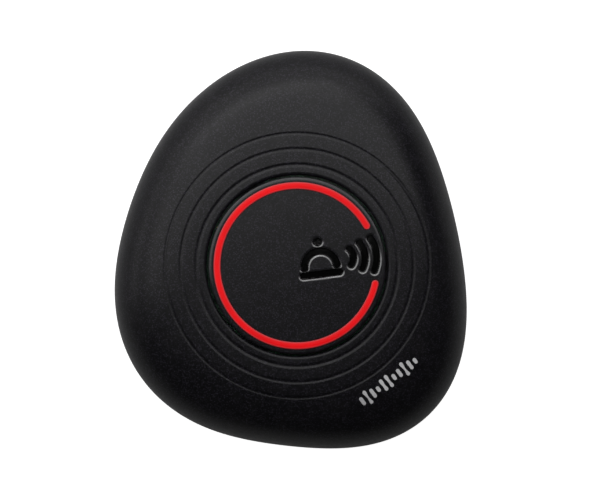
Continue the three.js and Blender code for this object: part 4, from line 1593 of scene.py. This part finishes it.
@dataclass(frozen=True)
class LightRing:
    """C-shaped light guide: a bar along an arc with round ends and a slightly domed face, on four legs.

    Attributes:
        centre: x and y of the button's axis.
        ring: its shape.
        dome: how far its face is raised along the middle.
        corner: radius of the edges of its face.
        thickness: thickness of the bar.
        highlight_border: width of the paler band along the edges of its face, where its finish paints a
            highlight.
        legs: angles of its legs, in degrees.
    """

    centre: Array
    ring: RingShape
    dome: float = 0.06 * MM
    corner: float = 0.18 * MM
    thickness: float = 1.1 * MM
    highlight_border: float = 0.36 * MM
    legs: tuple[float, ...] = (72.0, 144.0, 216.0, 288.0)

    def bar(self) -> Grid:
        """The bar as a section carried along the arc.

        At distance e past an end of the middle line the half width is sqrt(h^2 - e^2), a half circle. Across
        the section the face is domed by 1 - v^2.

        Returns:
            The closed skin.
        """
        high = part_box("light_ring")[1]
        floor = high.z - self.thickness
        half, radius = self.ring.width / 2, self.ring.radius
        past = half * np.sin(np.linspace(0.0, QUARTER, 12))
        ends = past / radius
        middle = np.linspace(self.ring.start, self.ring.end, 240)
        angle = np.concatenate([self.ring.start - ends[:0:-1], middle, self.ring.end + ends[1:]])
        over = np.concatenate([past[:0:-1], np.zeros(len(middle)), past[1:]])
        width = np.sqrt(np.maximum(half**2 - over**2, 1e-14))
        curve = np.linspace(0.0, QUARTER, 5)
        side, sunk = self.corner * (1 - np.cos(curve)) / half, self.corner * (1 - np.sin(curve))
        top, inner = high.z - self.dome, np.linspace(-0.72, 0.72, 13)
        across = np.concatenate([[-1.0], -1.0 + side, inner, 1.0 - side[::-1], [1.0]])
        fall = np.concatenate([sunk, np.zeros(len(inner)), sunk[::-1]])
        face = top - fall + self.dome * (1 - across[1:-1] ** 2)
        heights = np.concatenate([[floor], face, [floor]])
        return Grid(about_axis(self.centre, radius + across * width[:, None], angle[:, None], heights))

    def leg(self, place: float) -> Grid:
        """One leg: a short stretch of the arc, narrower than the bar, down to its lamp.

        Args:
            place: angle of its middle, in degrees.

        Returns:
            The closed skin.
        """
        low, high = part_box("light_ring")
        angle = (place + np.linspace(-5.0, 5.0, 7)) * DEGREE
        half, foot, head, lead = 0.55 * MM, low.z, high.z - self.thickness, 0.15 * MM
        left = np.array([(-half, head), (-half, foot + lead), (-half + lead, foot)])
        section = np.concatenate([left, left[::-1] * (-1, 1)])
        return Grid(about_axis(self.centre, self.ring.radius + section[:, 0], angle[:, None], section[:, 1]))

    def build(self, finishes: Finishes) -> None:
        """Makes the bar, with the number at each vertex that its finish reads, and its legs.

        Args:
            finishes: the pager's finishes.
        """
        face = mesh_piece("light_ring_bar", [self.bar()])
        x, y, _ = (points_of(face.data) - [*self.centre, 0.0]).T
        inside = -self.ring.distance(np.hypot(x, y), np.arctan2(y, x))
        # rises to 1 at the edges, where the finish paints a paler highlight
        write_attribute(face, "highlight_border", np.clip(1.0 - inside / self.highlight_border, 0.0, 1.0))
        place_piece(face, "button", finishes.light, ["light_ring"])
        legs = mesh_piece("light_ring_legs", [self.leg(place) for place in self.legs])
        place_piece(legs, "button", finishes.light, ["light_ring"])


@dataclass(frozen=True)
class PrintedMark:
    """Silver mark printed on the dome: a row of round-ended bars of uneven height, like a sound level.

    Attributes:
        pebble: the surface that it lies on.
        x: middle of the row from the button's axis.
        y: the same.
        tilt: angle of the row.
        count: bars in the row.
        pitch: distance from bar to bar.
        width: width of a bar.
        lift: how far the ink stands off the surface.
    """

    pebble: Pebble
    x: float = 19.8 * MM
    y: float = -24.9 * MM
    tilt: float = 37.6 * DEGREE
    count: int = 11
    pitch: float = 1.43 * MM
    width: float = 0.8 * MM
    lift: float = 0.03 * MM

    def bars(self) -> list[Grid]:
        """The bars, each a round-ended outline laid on the dome.

        Bar k is 1.3 mm + 2.1 mm sin(0.9 k + 0.6)^2 tall. Its outline is a circle of half the bar's width,
        split across the middle and pulled apart along the bar.

        Returns:
            One closed skin for each bar.
        """
        angle = np.arange(24) * TURN / 24 + TURN / 48
        circle = np.stack([np.cos(angle), np.sin(angle)], axis=-1) * self.width / 2
        scale = np.array([0.35, 0.7, 1.0, 1.0])[:, None, None]
        lift = np.array([self.lift, self.lift, self.lift, -self.lift])[:, None]
        made = []
        for k in range(self.count):
            tall = 1.3 * MM + 2.1 * MM * math.sin(0.9 * k + 0.6) ** 2
            pull = np.sign(np.sin(angle)) * (tall - self.width) / 2
            outline = circle + np.stack([0 * angle, pull], axis=-1)
            local = outline[None] * scale + [(k - (self.count - 1) / 2) * self.pitch, 0.0]
            c, s = math.cos(self.tilt), math.sin(self.tilt)
            x = self.x + local[..., 0] * c - local[..., 1] * s
            y = self.y + local[..., 0] * s + local[..., 1] * c
            r, a = np.hypot(x, y), np.arctan2(y, x)
            made.append(Grid(self.pebble.points(r, a, self.pebble.height(a, r) + lift)))
        return made

    def build(self, finishes: Finishes) -> None:
        """Makes the row of bars as one piece."""
        place_piece(mesh_piece("printed_mark", self.bars()), "housing", finishes.ink)


@dataclass(frozen=True)
class Screw:
    """Pan-head screw that points up, with a cross recess and a rolled thread.

    Attributes:
        node: CAD node that it stands for.
        head_height: height of its head.
        shank: radius of its shank.
        pitch: pitch of its thread.
    """

    node: str
    head_height: float
    shank: float
    pitch: float

    def skin(self) -> Grid:
        """One closed skin from the middle of the head to the tip.

        The head's face is a shallow dome with the cross sunk into it: the depth falls off smoothly over the
        walls of two crossed bars. Along the shank the radius is core + depth (1 - |2 f - 1|)^2 with f the
        fraction of (height / pitch - angle / turn).

        Returns:
            The skin.
        """
        low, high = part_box(self.node)
        place, head = middle_of(self.node)[:2], (high.x - low.x) / 2
        angle = (np.arange(72) * TURN / 72)[None]
        r = np.linspace(0.02, 1.0, 26)[:, None] * head
        x, y = r * np.cos(angle), r * np.sin(angle)
        arm, wide, wall = 0.62 * head, 0.13 * head, 0.08 * head
        bars = np.minimum(
            np.maximum(np.abs(x) - arm, np.abs(y) - wide), np.maximum(np.abs(y) - arm, np.abs(x) - wide)
        )
        share = np.clip(0.5 - bars / wall, 0.0, 1.0)
        dome = self.head_height * (1 - np.sqrt(1 - 0.9 * (r / head) ** 4))
        sink = 0.6 * self.head_height * share * (1 - 0.35 * np.hypot(x, y) / arm)
        seat = low.z + self.head_height
        body = np.arange(seat + 0.1 * MM, high.z - self.shank, self.pitch / 8)[:, None]
        fraction = (body / self.pitch - angle / TURN) % 1.0
        start = np.clip((body - seat) / self.pitch - 0.5, 0.0, 1.0)
        thread = 0.8 * self.shank + 0.2 * self.shank * start * (1 - np.abs(2 * fraction - 1)) ** 2
        taper = np.linspace(0.0, 1.0, 6)[1:, None]
        flat = np.ones_like(angle)
        point = 0.8 * self.shank * (1 - 0.85 * taper)
        radii = [r * flat, head * flat, self.shank * flat, thread, point * flat]
        tip = high.z - self.shank + self.shank * taper
        heights = [low.z + dome + sink, seat * flat, seat * flat, body * flat, tip * flat]
        return Grid(about_axis(place, np.concatenate(radii), angle, np.concatenate(heights)))

    def build(self, finishes: Finishes) -> None:
        """Makes the screw."""
        piece = mesh_piece(self.node + "_turned", [self.skin()])
        place_piece(piece, "housing", finishes.steel, [self.node])


def coil_axis(node: str) -> Array:
    """Finds the axis of an upright coil.

    The coil's points lie on circles about the axis, so the axis (a, b) is where a circle fits them best, by
    least squares on x^2 + y^2 = 2 a x + 2 b y + c.

    Args:
        node: CAD node of the coil.

    Returns:
        x and y of the axis.
    """
    points = node_points(node)[:, :2]
    matrix = np.column_stack([2 * points, np.ones(len(points))])
    return np.linalg.lstsq(matrix, (points**2).sum(axis=1), rcond=None)[0][:2]


class Direction(Enum):
    """Which way a coil runs from its foot."""

    UP = (0.0, 0.0, 1.0)
    FAR = (0.0, 1.0, 0.0)
    NEAR = (0.0, -1.0, 0.0)


@dataclass(frozen=True)
class Coil:
    """Round wire wound along an axis, straight or tapered, with closed ends.

    Attributes:
        foot: point where the axis starts.
        direction: which way it runs.
        length: length along the axis, outside the wire.
        wide: radius of the wire's middle line at the foot.
        narrow: the same at the other end.
        turns: turns of wire.
        wire: diameter of the wire.
        closed: turns at each end that lie nearly flat.
    """

    foot: Array
    direction: Direction
    length: float
    wide: float
    narrow: float
    turns: float
    wire: float
    closed: float = 0.8

    def skin(self) -> Grid:
        """The wire as a circle carried along a helix.

        At turn t the middle line is at radius wide + (narrow - wide) t / turns and angle 2 pi t. Its rise is
        even between the closed ends and slow in them. The circle lies across the wire, spanned by the
        outward direction and the axis.

        Returns:
            The closed skin.
        """
        t = np.linspace(0.0, self.turns, int(self.turns * 30))
        open_turns = self.turns - 2 * self.closed
        share = np.clip((t - self.closed) / open_turns, 0.0, 1.0)
        lay = self.wire * np.clip(t / self.closed, 0.0, 1.0) * 0.9
        lay_end = self.wire * np.clip((t - self.turns + self.closed) / self.closed, 0.0, 1.0) * 0.9
        travel = self.length - 2.8 * self.wire
        rise = self.wire / 2 + lay + lay_end + travel * share
        radius = self.wide + (self.narrow - self.wide) * t / self.turns
        v = np.arange(12) * TURN / 12
        out = radius[:, None] + self.wire / 2 * np.cos(v)
        along = rise[:, None] + self.wire / 2 * np.sin(v)
        x, y = out * np.cos(TURN * t)[:, None], out * np.sin(TURN * t)[:, None]
        axis = np.array(self.direction.value)
        first = np.array([1.0, 0.0, 0.0])
        second = np.cross(axis, first)
        return Grid(self.foot + x[..., None] * first + y[..., None] * second + along[..., None] * axis)


@dataclass(frozen=True)
class Springs:
    """Return springs under the button, battery springs in the bay, and the antenna."""

    def build(self, finishes: Finishes) -> None:
        """Makes every coil.

        Args:
            finishes: the pager's finishes.
        """
        for spring in RETURN_SPRINGS:
            self._return_spring(spring, finishes)
        self._battery_spring("battery_spring_1", Direction.FAR, finishes)
        self._battery_spring("battery_spring_2", Direction.NEAR, finishes)
        low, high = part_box("antenna_coil")
        middle = (low + high) / 2
        foot = np.array([middle.x, low.y, middle.z])
        antenna = Coil(foot, Direction.FAR, high.y - low.y, 2.1 * MM, 2.1 * MM, 9.0, 0.8 * MM, 0.3)
        piece = mesh_piece("antenna_coil_wound", [antenna.skin()])
        place_piece(piece, "housing", finishes.copper, ["antenna_coil"])

    @staticmethod
    def _return_spring(node: str, finishes: Finishes) -> None:
        """One return spring at rest, with a mesh of its own; the real one shortens as the button goes down.

        Args:
            node: CAD node that it stands for.
            finishes: the pager's finishes.
        """
        low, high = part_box(node)
        foot, length, radius = np.array([*coil_axis(node), low.z]), high.z - low.z, 1.9 * MM
        coil = Coil(foot, Direction.UP, length, radius, radius, 4.6, 0.4 * MM)
        piece = mesh_piece(node + "_wound", [coil.skin()])
        place_piece(piece, "housing", finishes.wire, [node])
        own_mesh(piece)

    @staticmethod
    def _battery_spring(node: str, direction: Direction, finishes: Finishes) -> None:
        """One tapered spring, wide where it sits on its contact.

        Args:
            node: CAD node that it stands for.
            direction: which way it runs from its contact.
            finishes: the pager's finishes.
        """
        low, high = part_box(node)
        cell = middle_of(node.replace("spring", "cell"))
        foot = np.array([cell[0], low.y if direction is Direction.FAR else high.y, cell[2]])
        coil = Coil(foot, direction, high.y - low.y, 3.4 * MM, 1.9 * MM, 4.2, 0.5 * MM, 0.7)
        piece = mesh_piece(node + "_wound", [coil.skin()])
        place_piece(piece, "housing", finishes.wire, [node])


@dataclass(frozen=True)
class BatteryCell:
    """AAA cell lying along Y.

    Attributes:
        node: CAD node that it stands for.
        nub_far: True when its nub points along +Y.
    """

    node: str
    nub_far: bool

    def build(self, finishes: Finishes) -> None:
        """Makes the cell: a profile from the flat end over the crimped edges to the nub, turned about Y.

        Args:
            finishes: the pager's finishes.
        """
        low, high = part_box(self.node)
        middle, length, radius = middle_of(self.node), high.y - low.y, (high.z - low.z) / 2
        can, nub = length - 1.0 * MM, 1.9 * MM
        corners = [
            (0, 0.25 * MM, 0),
            (radius - 1.6 * MM, 0.25 * MM, 0.2 * MM),
            (radius - 1.2 * MM, 0, 0.15 * MM),
            (radius - 0.3 * MM, 0, 0.25 * MM),
            (radius - 0.12 * MM, 0.5 * MM, 0.15 * MM),
            (radius, 0.7 * MM, 0.15 * MM),
            (radius, can - 0.5 * MM, 0.3 * MM),
            (radius - 0.5 * MM, can, 0.2 * MM),
            (radius - 1.3 * MM, can, 0.2 * MM),
            (radius - 1.6 * MM, can - 0.25 * MM, 0.15 * MM),
            (nub, can - 0.25 * MM, 0.1 * MM),
            (nub - 0.05 * MM, length, 0.25 * MM),
            (0, length, 0),
        ]
        rings = lathed(corners, np.zeros(2), 72, 5).points
        along = rings[..., 2].copy()
        y = low.y + along if self.nub_far else high.y - along
        grid = Grid(np.stack([middle[0] + rings[..., 0], y, middle[2] + rings[..., 1]], axis=-1))
        piece = mesh_piece(self.node + "_cased", [grid])
        y = points_of(piece.data)[:, 1]
        share = (y - low.y) / length if self.nub_far else (high.y - y) / length
        write_attribute(piece, "along", share)
        place_piece(piece, "housing", finishes.cell, [self.node])


@dataclass(frozen=True)
class BatteryDoor:
    """Battery door: a round-cornered plate with two hinge tabs, a springy latch, grip grooves and an arrow.

    Attributes:
        corner: radius of its corners.
        edge: radius of its outer edge.
        thickness: thickness of its plate.
    """

    corner: float = 1.75 * MM
    edge: float = 0.25 * MM
    thickness: float = 1.5 * MM

    def build(self, finishes: Finishes) -> None:
        """Makes the plate, joins the tabs and the latch hook, and cuts the slits, the grips and the arrow.

        Args:
            finishes: the pager's finishes.
        """
        low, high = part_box("battery_door")
        near, far, top = low.y + 1.5 * MM, high.y, low.z + self.thickness
        plate = slab((low.x, near, low.z), (high.x, far, top), self.corner, self.edge)
        piece = mesh_piece("battery_door_plate", [plate])
        hook = (far - 1.85 * MM, far - 1.05 * MM)
        joined = [bar(0.0, 4.5 * MM, hook, (top - 0.3 * MM, high.z), 0.2 * MM, 0.1 * MM)]
        tab, tab_z = (low.y, near + MM), (top - 0.55 * MM, top - 0.01 * MM)
        joined += [bar(side * TAB_OFFSET, 2.5 * MM, tab, tab_z, 0.4 * MM, 0.1 * MM) for side in (-1, 1)]
        carve(piece, joined, Carving.JOIN)
        carve(piece, self._cuts(low.z, top, far), Carving.CUT)
        place_piece(piece, "door", finishes.base, ["battery_door"])

    def _cuts(self, face: float, top: float, far: float) -> list[Grid]:
        """Slits beside the latch, grip grooves across it, and a sunk arrow that points at it.

        Args:
            face: height of the outer face.
            top: height of the inner face.
            far: y of the latch's end.

        Returns:
            The cutting bodies.
        """
        slit, slit_z = (far - 7.0 * MM, far + MM), (face - MM, top + MM)
        cuts = [bar(side * 4.9 * MM, 0.4 * MM, slit, slit_z, 0.35 * MM) for side in (-1, 1)]
        for k in range(4):
            y = far - (1.6 + 1.3 * k) * MM
            grip, grip_z = (y - 0.3 * MM, y + 0.3 * MM), (face - MM, face + 0.35 * MM)
            cuts.append(bar(0.0, 3.5 * MM, grip, grip_z, 0.28 * MM))
        tip, half, depth = far - 9.0 * MM, 2.2 * MM, 0.25 * MM
        corners = np.array([(0.0, tip), (-half, tip - 3.4 * MM), (half, tip - 3.4 * MM)])
        share = np.linspace(0.0, 1.0, 6, endpoint=False)[:, None]
        outline = np.concatenate([a + (b - a) * share for a, b in zip(corners, np.roll(corners, -1, axis=0))])
        levels = np.array([face - MM, face + depth])[:, None]
        rings = np.stack(np.broadcast_arrays(outline[None, :, 0], outline[None, :, 1], levels), axis=-1)
        return [*cuts, Grid(rings)]


@dataclass(frozen=True)
class Foot:
    """Round rubber foot with a soft edge and three shallow rings in its face.

    Attributes:
        node: CAD node that it stands for.
        edge: radius of its edge.
        ring: half the depth of the rings.
        chamfer: chamfer of its upper edge.
    """

    node: str
    edge: float = 0.5 * MM
    ring: float = 0.05 * MM
    chamfer: float = 0.1 * MM

    def build(self, finishes: Finishes) -> None:
        """Makes the foot: a profile with three rings of the form ring (1 - cos) in its flat face, turned.

        Args:
            finishes: the pager's finishes.
        """
        low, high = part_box(self.node)
        radius = (high.x - low.x) / 2
        flat = radius - self.edge
        face = np.linspace(0.02, 1.0, 60) * flat
        rings = self.ring * (1 - np.cos(face / flat * 3 * TURN))
        turn = np.linspace(0.0, QUARTER, 7)[1:]
        edge_r, edge_z = flat + self.edge * np.sin(turn), low.z + self.edge * (1 - np.cos(turn))
        r = np.concatenate([face, edge_r, [radius, radius - self.chamfer]])
        z = np.concatenate([low.z + rings, edge_z, [high.z - self.chamfer, high.z]])
        pad = mesh_piece(self.node + "_pad", [turned(np.stack([r, z], axis=1), middle_of(self.node), 64)])
        place_piece(pad, "housing", finishes.rubber, [self.node])


@dataclass(frozen=True)
class Electronics:
    """Soldered parts on the circuit board, and the CAD pieces round them that keep their own shape."""

    def build(self, finishes: Finishes) -> None:
        """Makes the soldered parts and dresses the CAD pieces.

        Args:
            finishes: the pager's finishes.
        """
        self._chip(finishes)
        self._module(finishes)
        self._crystal(finishes)
        self._capacitor(finishes)
        for k in (1, 2, 3, 4):
            self._lamp(f"lamp_{k}", finishes)
        self._dress(finishes)

    @staticmethod
    def _chip(finishes: Finishes) -> None:
        """Controller chip: a moulded body with a pin-one dimple and bent legs along both long sides.

        Args:
            finishes: the pager's finishes.
        """
        low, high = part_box("controller_chip")
        body_low = (low.x + 0.55 * MM, low.y, low.z + 0.15 * MM)
        body_high = (high.x - 0.55 * MM, high.y, high.z)
        body = mesh_piece("controller_chip_body", [slab(body_low, body_high, 0.12 * MM, 0.1 * MM)])
        floor, above = high.z - 0.08 * MM, high.z + MM
        dimple = [(0, floor, 0), (0.3 * MM, floor, 0), (0.35 * MM, above, 0), (0, above, 0)]
        place = np.array([low.x + 1.1 * MM, high.y - 0.7 * MM])
        carve(body, [lathed(dimple, place, 24)], Carving.CUT)
        place_piece(body, "housing", finishes.epoxy, ["controller_chip"])
        path = np.array([(0.7, 0.75), (0.35, 0.75), (0.25, 0.7), (0.22, 0.1), (0.15, 0.06), (0.0, 0.06)]) * MM
        legs = []
        for side, edge in ((1, low.x), (-1, high.x)):
            for y in np.linspace(low.y + 0.5 * MM, high.y - 0.5 * MM, 7):
                half = np.array([(-0.2, 0.05), (0.2, 0.05), (0.2, -0.05), (-0.2, -0.05)]) * MM
                x = edge + side * (path[:, :1] + 0.3 * half[:, 1])
                z = low.z + path[:, 1:] + half[:, 1]
                legs.append(Grid(np.stack(np.broadcast_arrays(x, y + half[:, 0], z), axis=-1)))
        legs = mesh_piece("controller_chip_legs", legs)
        place_piece(legs, "housing", finishes.steel, ["controller_chip"])

    @staticmethod
    def _module(finishes: Finishes) -> None:
        """Transmitter module: a drawn metal can with a soft edge and a row of vent holes.

        Args:
            finishes: the pager's finishes.
        """
        low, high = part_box("transmitter_module")
        can = mesh_piece("transmitter_module_can", [slab(low, high, 0.6 * MM, 0.35 * MM)])
        below, ceiling, vent = low.z - MM, low.z + 0.4 * MM, 0.4 * MM
        hole = [(0, below, 0), (vent, below, 0), (vent, ceiling, 0), (0, ceiling, 0)]
        places = [np.array([(low.x + high.x) / 2, low.y + (2.5 + 2.5 * k) * MM]) for k in range(5)]
        carve(can, [lathed(hole, place, 20) for place in places], Carving.CUT)
        place_piece(can, "housing", finishes.steel, ["transmitter_module"])

    @staticmethod
    def _crystal(finishes: Finishes) -> None:
        """Crystal: a pressed can with fully round ends and a flange at its foot.

        Args:
            finishes: the pager's finishes.
        """
        low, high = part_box("crystal")
        inset, seat = 0.2 * MM, high.z - 0.3 * MM
        can_high = (high.x - inset, high.y - inset, seat)
        can = slab((low.x + inset, low.y + inset, low.z), can_high, 1.3 * MM, 0.3 * MM)
        flange = slab((low.x, low.y, seat), high, 1.5 * MM, 0.08 * MM)
        place_piece(mesh_piece("crystal_can", [can, flange]), "housing", finishes.steel, ["crystal"])

    @staticmethod
    def _capacitor(finishes: Finishes) -> None:
        """Capacitor: a sleeved can with a rolled groove near the board.

        Args:
            finishes: the pager's finishes.
        """
        low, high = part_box("capacitor")
        radius = (high.y - low.y) / 2
        corners = [
            (0, low.z + 0.15 * MM, 0),
            (radius - 0.6 * MM, low.z + 0.15 * MM, 0.1 * MM),
            (radius - 0.5 * MM, low.z, 0.08 * MM),
            (radius, low.z, 0.3 * MM),
            (radius, high.z - 1.5 * MM, 0.15 * MM),
            (radius - 0.25 * MM, high.z - 1.2 * MM, 0.15 * MM),
            (radius, high.z - 0.9 * MM, 0.15 * MM),
            (radius, high.z, 0.2 * MM),
            (0, high.z, 0),
        ]
        can = mesh_piece("capacitor_can", [lathed(corners, middle_of("capacitor"), 56)])
        place_piece(can, "housing", finishes.epoxy, ["capacitor"])

    @staticmethod
    def _lamp(node: str, finishes: Finishes) -> None:
        """Lamp: a white package with a round reflector cup sunk into its face, turned to the button's axis.

        Args:
            node: CAD node that it stands for.
            finishes: the pager's finishes.
        """
        low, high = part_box(node)
        middle = middle_of(node)
        centre = middle_of("switch_plunger")
        turn = math.atan2(middle[1] - centre[1], middle[0] - centre[0])
        block = slab((-0.8 * MM, -1.6 * MM, low.z), (0.8 * MM, 1.6 * MM, high.z), 0.1 * MM, 0.06 * MM)
        c, s = math.cos(turn), math.sin(turn)
        points = block.points @ np.array([(c, s, 0.0), (-s, c, 0.0), (0.0, 0.0, 1.0)])
        piece = mesh_piece(node + "_package", [Grid(points + [middle[0], middle[1], 0.0])])
        floor, above = high.z - 0.3 * MM, high.z + MM
        cup = [(0, floor, 0), (0.45 * MM, floor, 0.05 * MM), (0.65 * MM, high.z, 0)]
        carve(piece, [lathed([*cup, (0.8 * MM, above, 0), (0, above, 0)], middle, 32)], Carving.CUT)
        place_piece(piece, "housing", finishes.nylon, [node])

    @staticmethod
    def _dress(finishes: Finishes) -> None:
        """Gives the CAD pieces that stay their own finishes.

        Args:
            finishes: the pager's finishes.
        """
        dressed = {
            "housing_gasket": finishes.rubber,
            "spring_carrier": finishes.nylon,
            "circuit_board": finishes.board,
            "switch_body": finishes.epoxy,
            "switch_cover": finishes.steel,
            "switch_plunger": finishes.epoxy,
            "contact_positive": finishes.steel,
            "contact_negative": finishes.steel,
            "contact_link": finishes.steel,
        }
        for node, material in dressed.items():
            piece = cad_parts[node]
            for place in range(len(piece.material_slots)):
                piece.material_slots[place].material = material
            log.info("%s: CAD shape, dressed in %s", node, material.name)


# ---------------------------------------------------------------------------------------------------------
# Studio
# ---------------------------------------------------------------------------------------------------------


@dataclass(frozen=True)
class Lamp:
    """One soft rectangular studio light.

    Attributes:
        name: its name.
        place: where its middle hangs, in metres.
        aim: the point that it faces.
        width: its width, along X.
        depth: its depth.
        radiance: how bright its face is, where a white floor in full light is about 1.
        turn: how far it is turned in its own plane.
    """

    name: str
    place: tuple[float, float, float]
    aim: tuple[float, float, float]
    width: float
    depth: float
    radiance: float
    turn: float = 0.0

    def build(self) -> None:
        """Makes the light, with the power that gives its face its radiance, and aims it."""
        data = bpy.data.lights.new(self.name, "AREA")
        data.shape = "RECTANGLE"
        data.size, data.size_y = self.width, self.depth
        data.energy = self.radiance * math.pi * self.width * self.depth
        light = bpy.data.objects.new(self.name, data)
        light.location = self.place
        facing = (Vector(self.aim) - Vector(self.place)).to_track_quat("-Z", "Y")
        light.rotation_euler = (facing @ Quaternion((0.0, 0.0, 1.0), self.turn)).to_euler()
        light.visible_camera = False
        bpy.context.scene.collection.objects.link(light)


@dataclass(frozen=True)
class Studio:
    """Pale floor, soft lights and a camera straight above the pager.

    Attributes:
        view_width: width of the picture at the level of the button, in metres.
        shift: middle of the picture from the origin, in metres.
        distance: height of the camera over the button.
        floor_size: side of the floor.
        floor_glow: how much the floor glows for the camera, so that it is white in the picture.
        floor_bounce: how much it glows for everything else.
        surround: brightness of the world, as the pager sees it.
        rim_lamps: how many low lamps light the rim.
        rim_reach: their distance from the origin.
    """

    view_width: float = 0.1294
    shift: tuple[float, float] = (0.00201, -0.00008)
    distance: float = 4.5
    floor_size: float = 3.0
    floor_glow: float = 1.0
    floor_bounce: float = 0.06
    surround: float = 0.05
    rim_lamps: int = 4
    rim_reach: float = 0.55

    def build(self) -> None:
        """Makes the floor, the world, the lights and the camera."""
        self._floor()
        self._world()
        self._lamps()
        self._camera()

    def _lamps(self) -> None:
        """Hangs the lights.

        The near edge of the overhead light crosses the button, so its reflection fades towards -Y. The
        narrow strip is what the chamfers mirror, and the low lamps light the far rim.
        """
        overhead, middle = (-0.1, 0.271, 0.31), (0.0, 0.0, 0.02)
        straight_down = (overhead[0], overhead[1] + MM, 0.0)
        lamps = [
            Lamp("overhead", overhead, straight_down, 0.8, 0.54, 1.9, 10.0 * DEGREE),
            Lamp("strip", (-0.1, 0.34, 0.3), middle, 0.5, 0.05, 3.6),
        ]
        for count in range(self.rim_lamps):
            azimuth = (65 + 35 * count) * DEGREE
            place = (self.rim_reach * math.cos(azimuth), self.rim_reach * math.sin(azimuth), 0.14)
            lamps.append(Lamp(f"rim_{count + 1}", place, middle, 0.35, 0.2, 1.4))
        lamps.append(Lamp("underneath", (0.1, -0.2, -0.4), middle, 0.4, 0.4, 2.5))
        for lamp in lamps:
            lamp.build()

    def _floor(self) -> None:
        """Lays a pale floor with a faint paper tooth, which is clear from below."""
        half = self.floor_size / 2
        mesh = bpy.data.meshes.new("floor")
        corners = [(-half, -half, 0.0), (half, -half, 0.0), (half, half, 0.0), (-half, half, 0.0)]
        mesh.from_pydata(corners, [], [(0, 1, 2, 3)])
        floor = bpy.data.objects.new("floor", mesh)
        bpy.context.scene.collection.objects.link(floor)
        made = Material("pale_floor")
        bench = made.bench
        tooth = bench.noise(bench.object_vector(), 900.0, 3.0)
        seen = bench.add("LightPath").outputs["Is Camera Ray"]
        inputs = {
            "Base Color": bench.blend(tooth, grey(0.36), grey(0.4)),
            "Roughness": bench.spread(tooth, 0.3, 0.7, 0.7, 0.8),
            "Emission Color": grey(1.0),
            "Emission Strength": bench.spread(seen, 0.0, 1.0, self.floor_bounce, self.floor_glow),
        }
        bench.feed(made.shader, inputs)
        under = bench.add("NewGeometry").outputs["Backfacing"]
        clear = bench.add("BsdfTransparent").outputs[0]
        sides = bench.add("MixShader", {0: under, 1: made.shader.outputs[0], 2: clear})
        bench.feed(bench.tree.nodes["Material Output"], {"Surface": sides.outputs[0]})
        mesh.materials.append(made.material)

    def _world(self) -> None:
        """A white backdrop, whose light on the pager is dim."""
        world = bpy.data.worlds.new("surround")
        world.use_nodes = True
        bench = NodeBench(world.node_tree)
        seen = bench.add("LightPath").outputs["Is Camera Ray"]
        strength = bench.spread(seen, 0.0, 1.0, self.surround, 1.0)
        bench.feed(world.node_tree.nodes["Background"], {"Color": grey(1.0), "Strength": strength})
        bpy.context.scene.world = world
        bpy.context.scene.view_settings.view_transform = "Standard"

    def _camera(self) -> None:
        """A long lens straight above the pager, with +Y up in the picture."""
        data = bpy.data.cameras.new("camera")
        camera = bpy.data.objects.new("camera", data)
        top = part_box("button_cap")[1].z
        camera.location = (self.shift[0], self.shift[1], top + self.distance)
        data.lens = data.sensor_width * self.distance / self.view_width
        data.clip_end = 4 * self.distance
        bpy.context.scene.collection.objects.link(camera)
        bpy.context.scene.camera = camera


# ---------------------------------------------------------------------------------------------------------
# The pager
# ---------------------------------------------------------------------------------------------------------


def main() -> None:
    """Builds the pager's pieces in order, then the studio."""
    logging.basicConfig(level=logging.INFO, format="%(name)s: %(message)s")
    effects = Effects()
    finishes = Finishes(effects)
    pebble = Pebble.from_frame(lip=20.25 * MM)
    grooves = (
        Groove(21.75 * MM, 1.3 * MM, 0.17 * MM),
        Groove(25.15 * MM, 1.15 * MM, 0.14 * MM),
        Groove(28.55 * MM, 1.05 * MM, 0.13 * MM),
    )
    ring = RingShape(17.28 * MM, 1.54 * MM, 29.8 * DEGREE, 347.0 * DEGREE)
    UpperHousing(pebble, grooves).build(finishes)
    LowerHousing(pebble).build(finishes)
    BatteryDoor().build(finishes)
    ButtonCap(pebble.centre, Legend(), ring).build(finishes)
    LightRing(pebble.centre, ring).build(finishes)
    PrintedMark(pebble).build(finishes)
    for foot, screw in zip(FEET, BOARD_SCREWS):
        Foot(foot).build(finishes)
        Screw(screw, 1.1 * MM, 0.85 * MM, 0.6 * MM).build(finishes)
    for screw in HOUSING_SCREWS:
        Screw(screw, 1.5 * MM, 1.25 * MM, 0.9 * MM).build(finishes)
    Springs().build(finishes)
    BatteryCell("battery_cell_1", nub_far=True).build(finishes)
    BatteryCell("battery_cell_2", nub_far=False).build(finishes)
    Electronics().build(finishes)
    Studio().build()


if __name__ == "__main__":
    main()
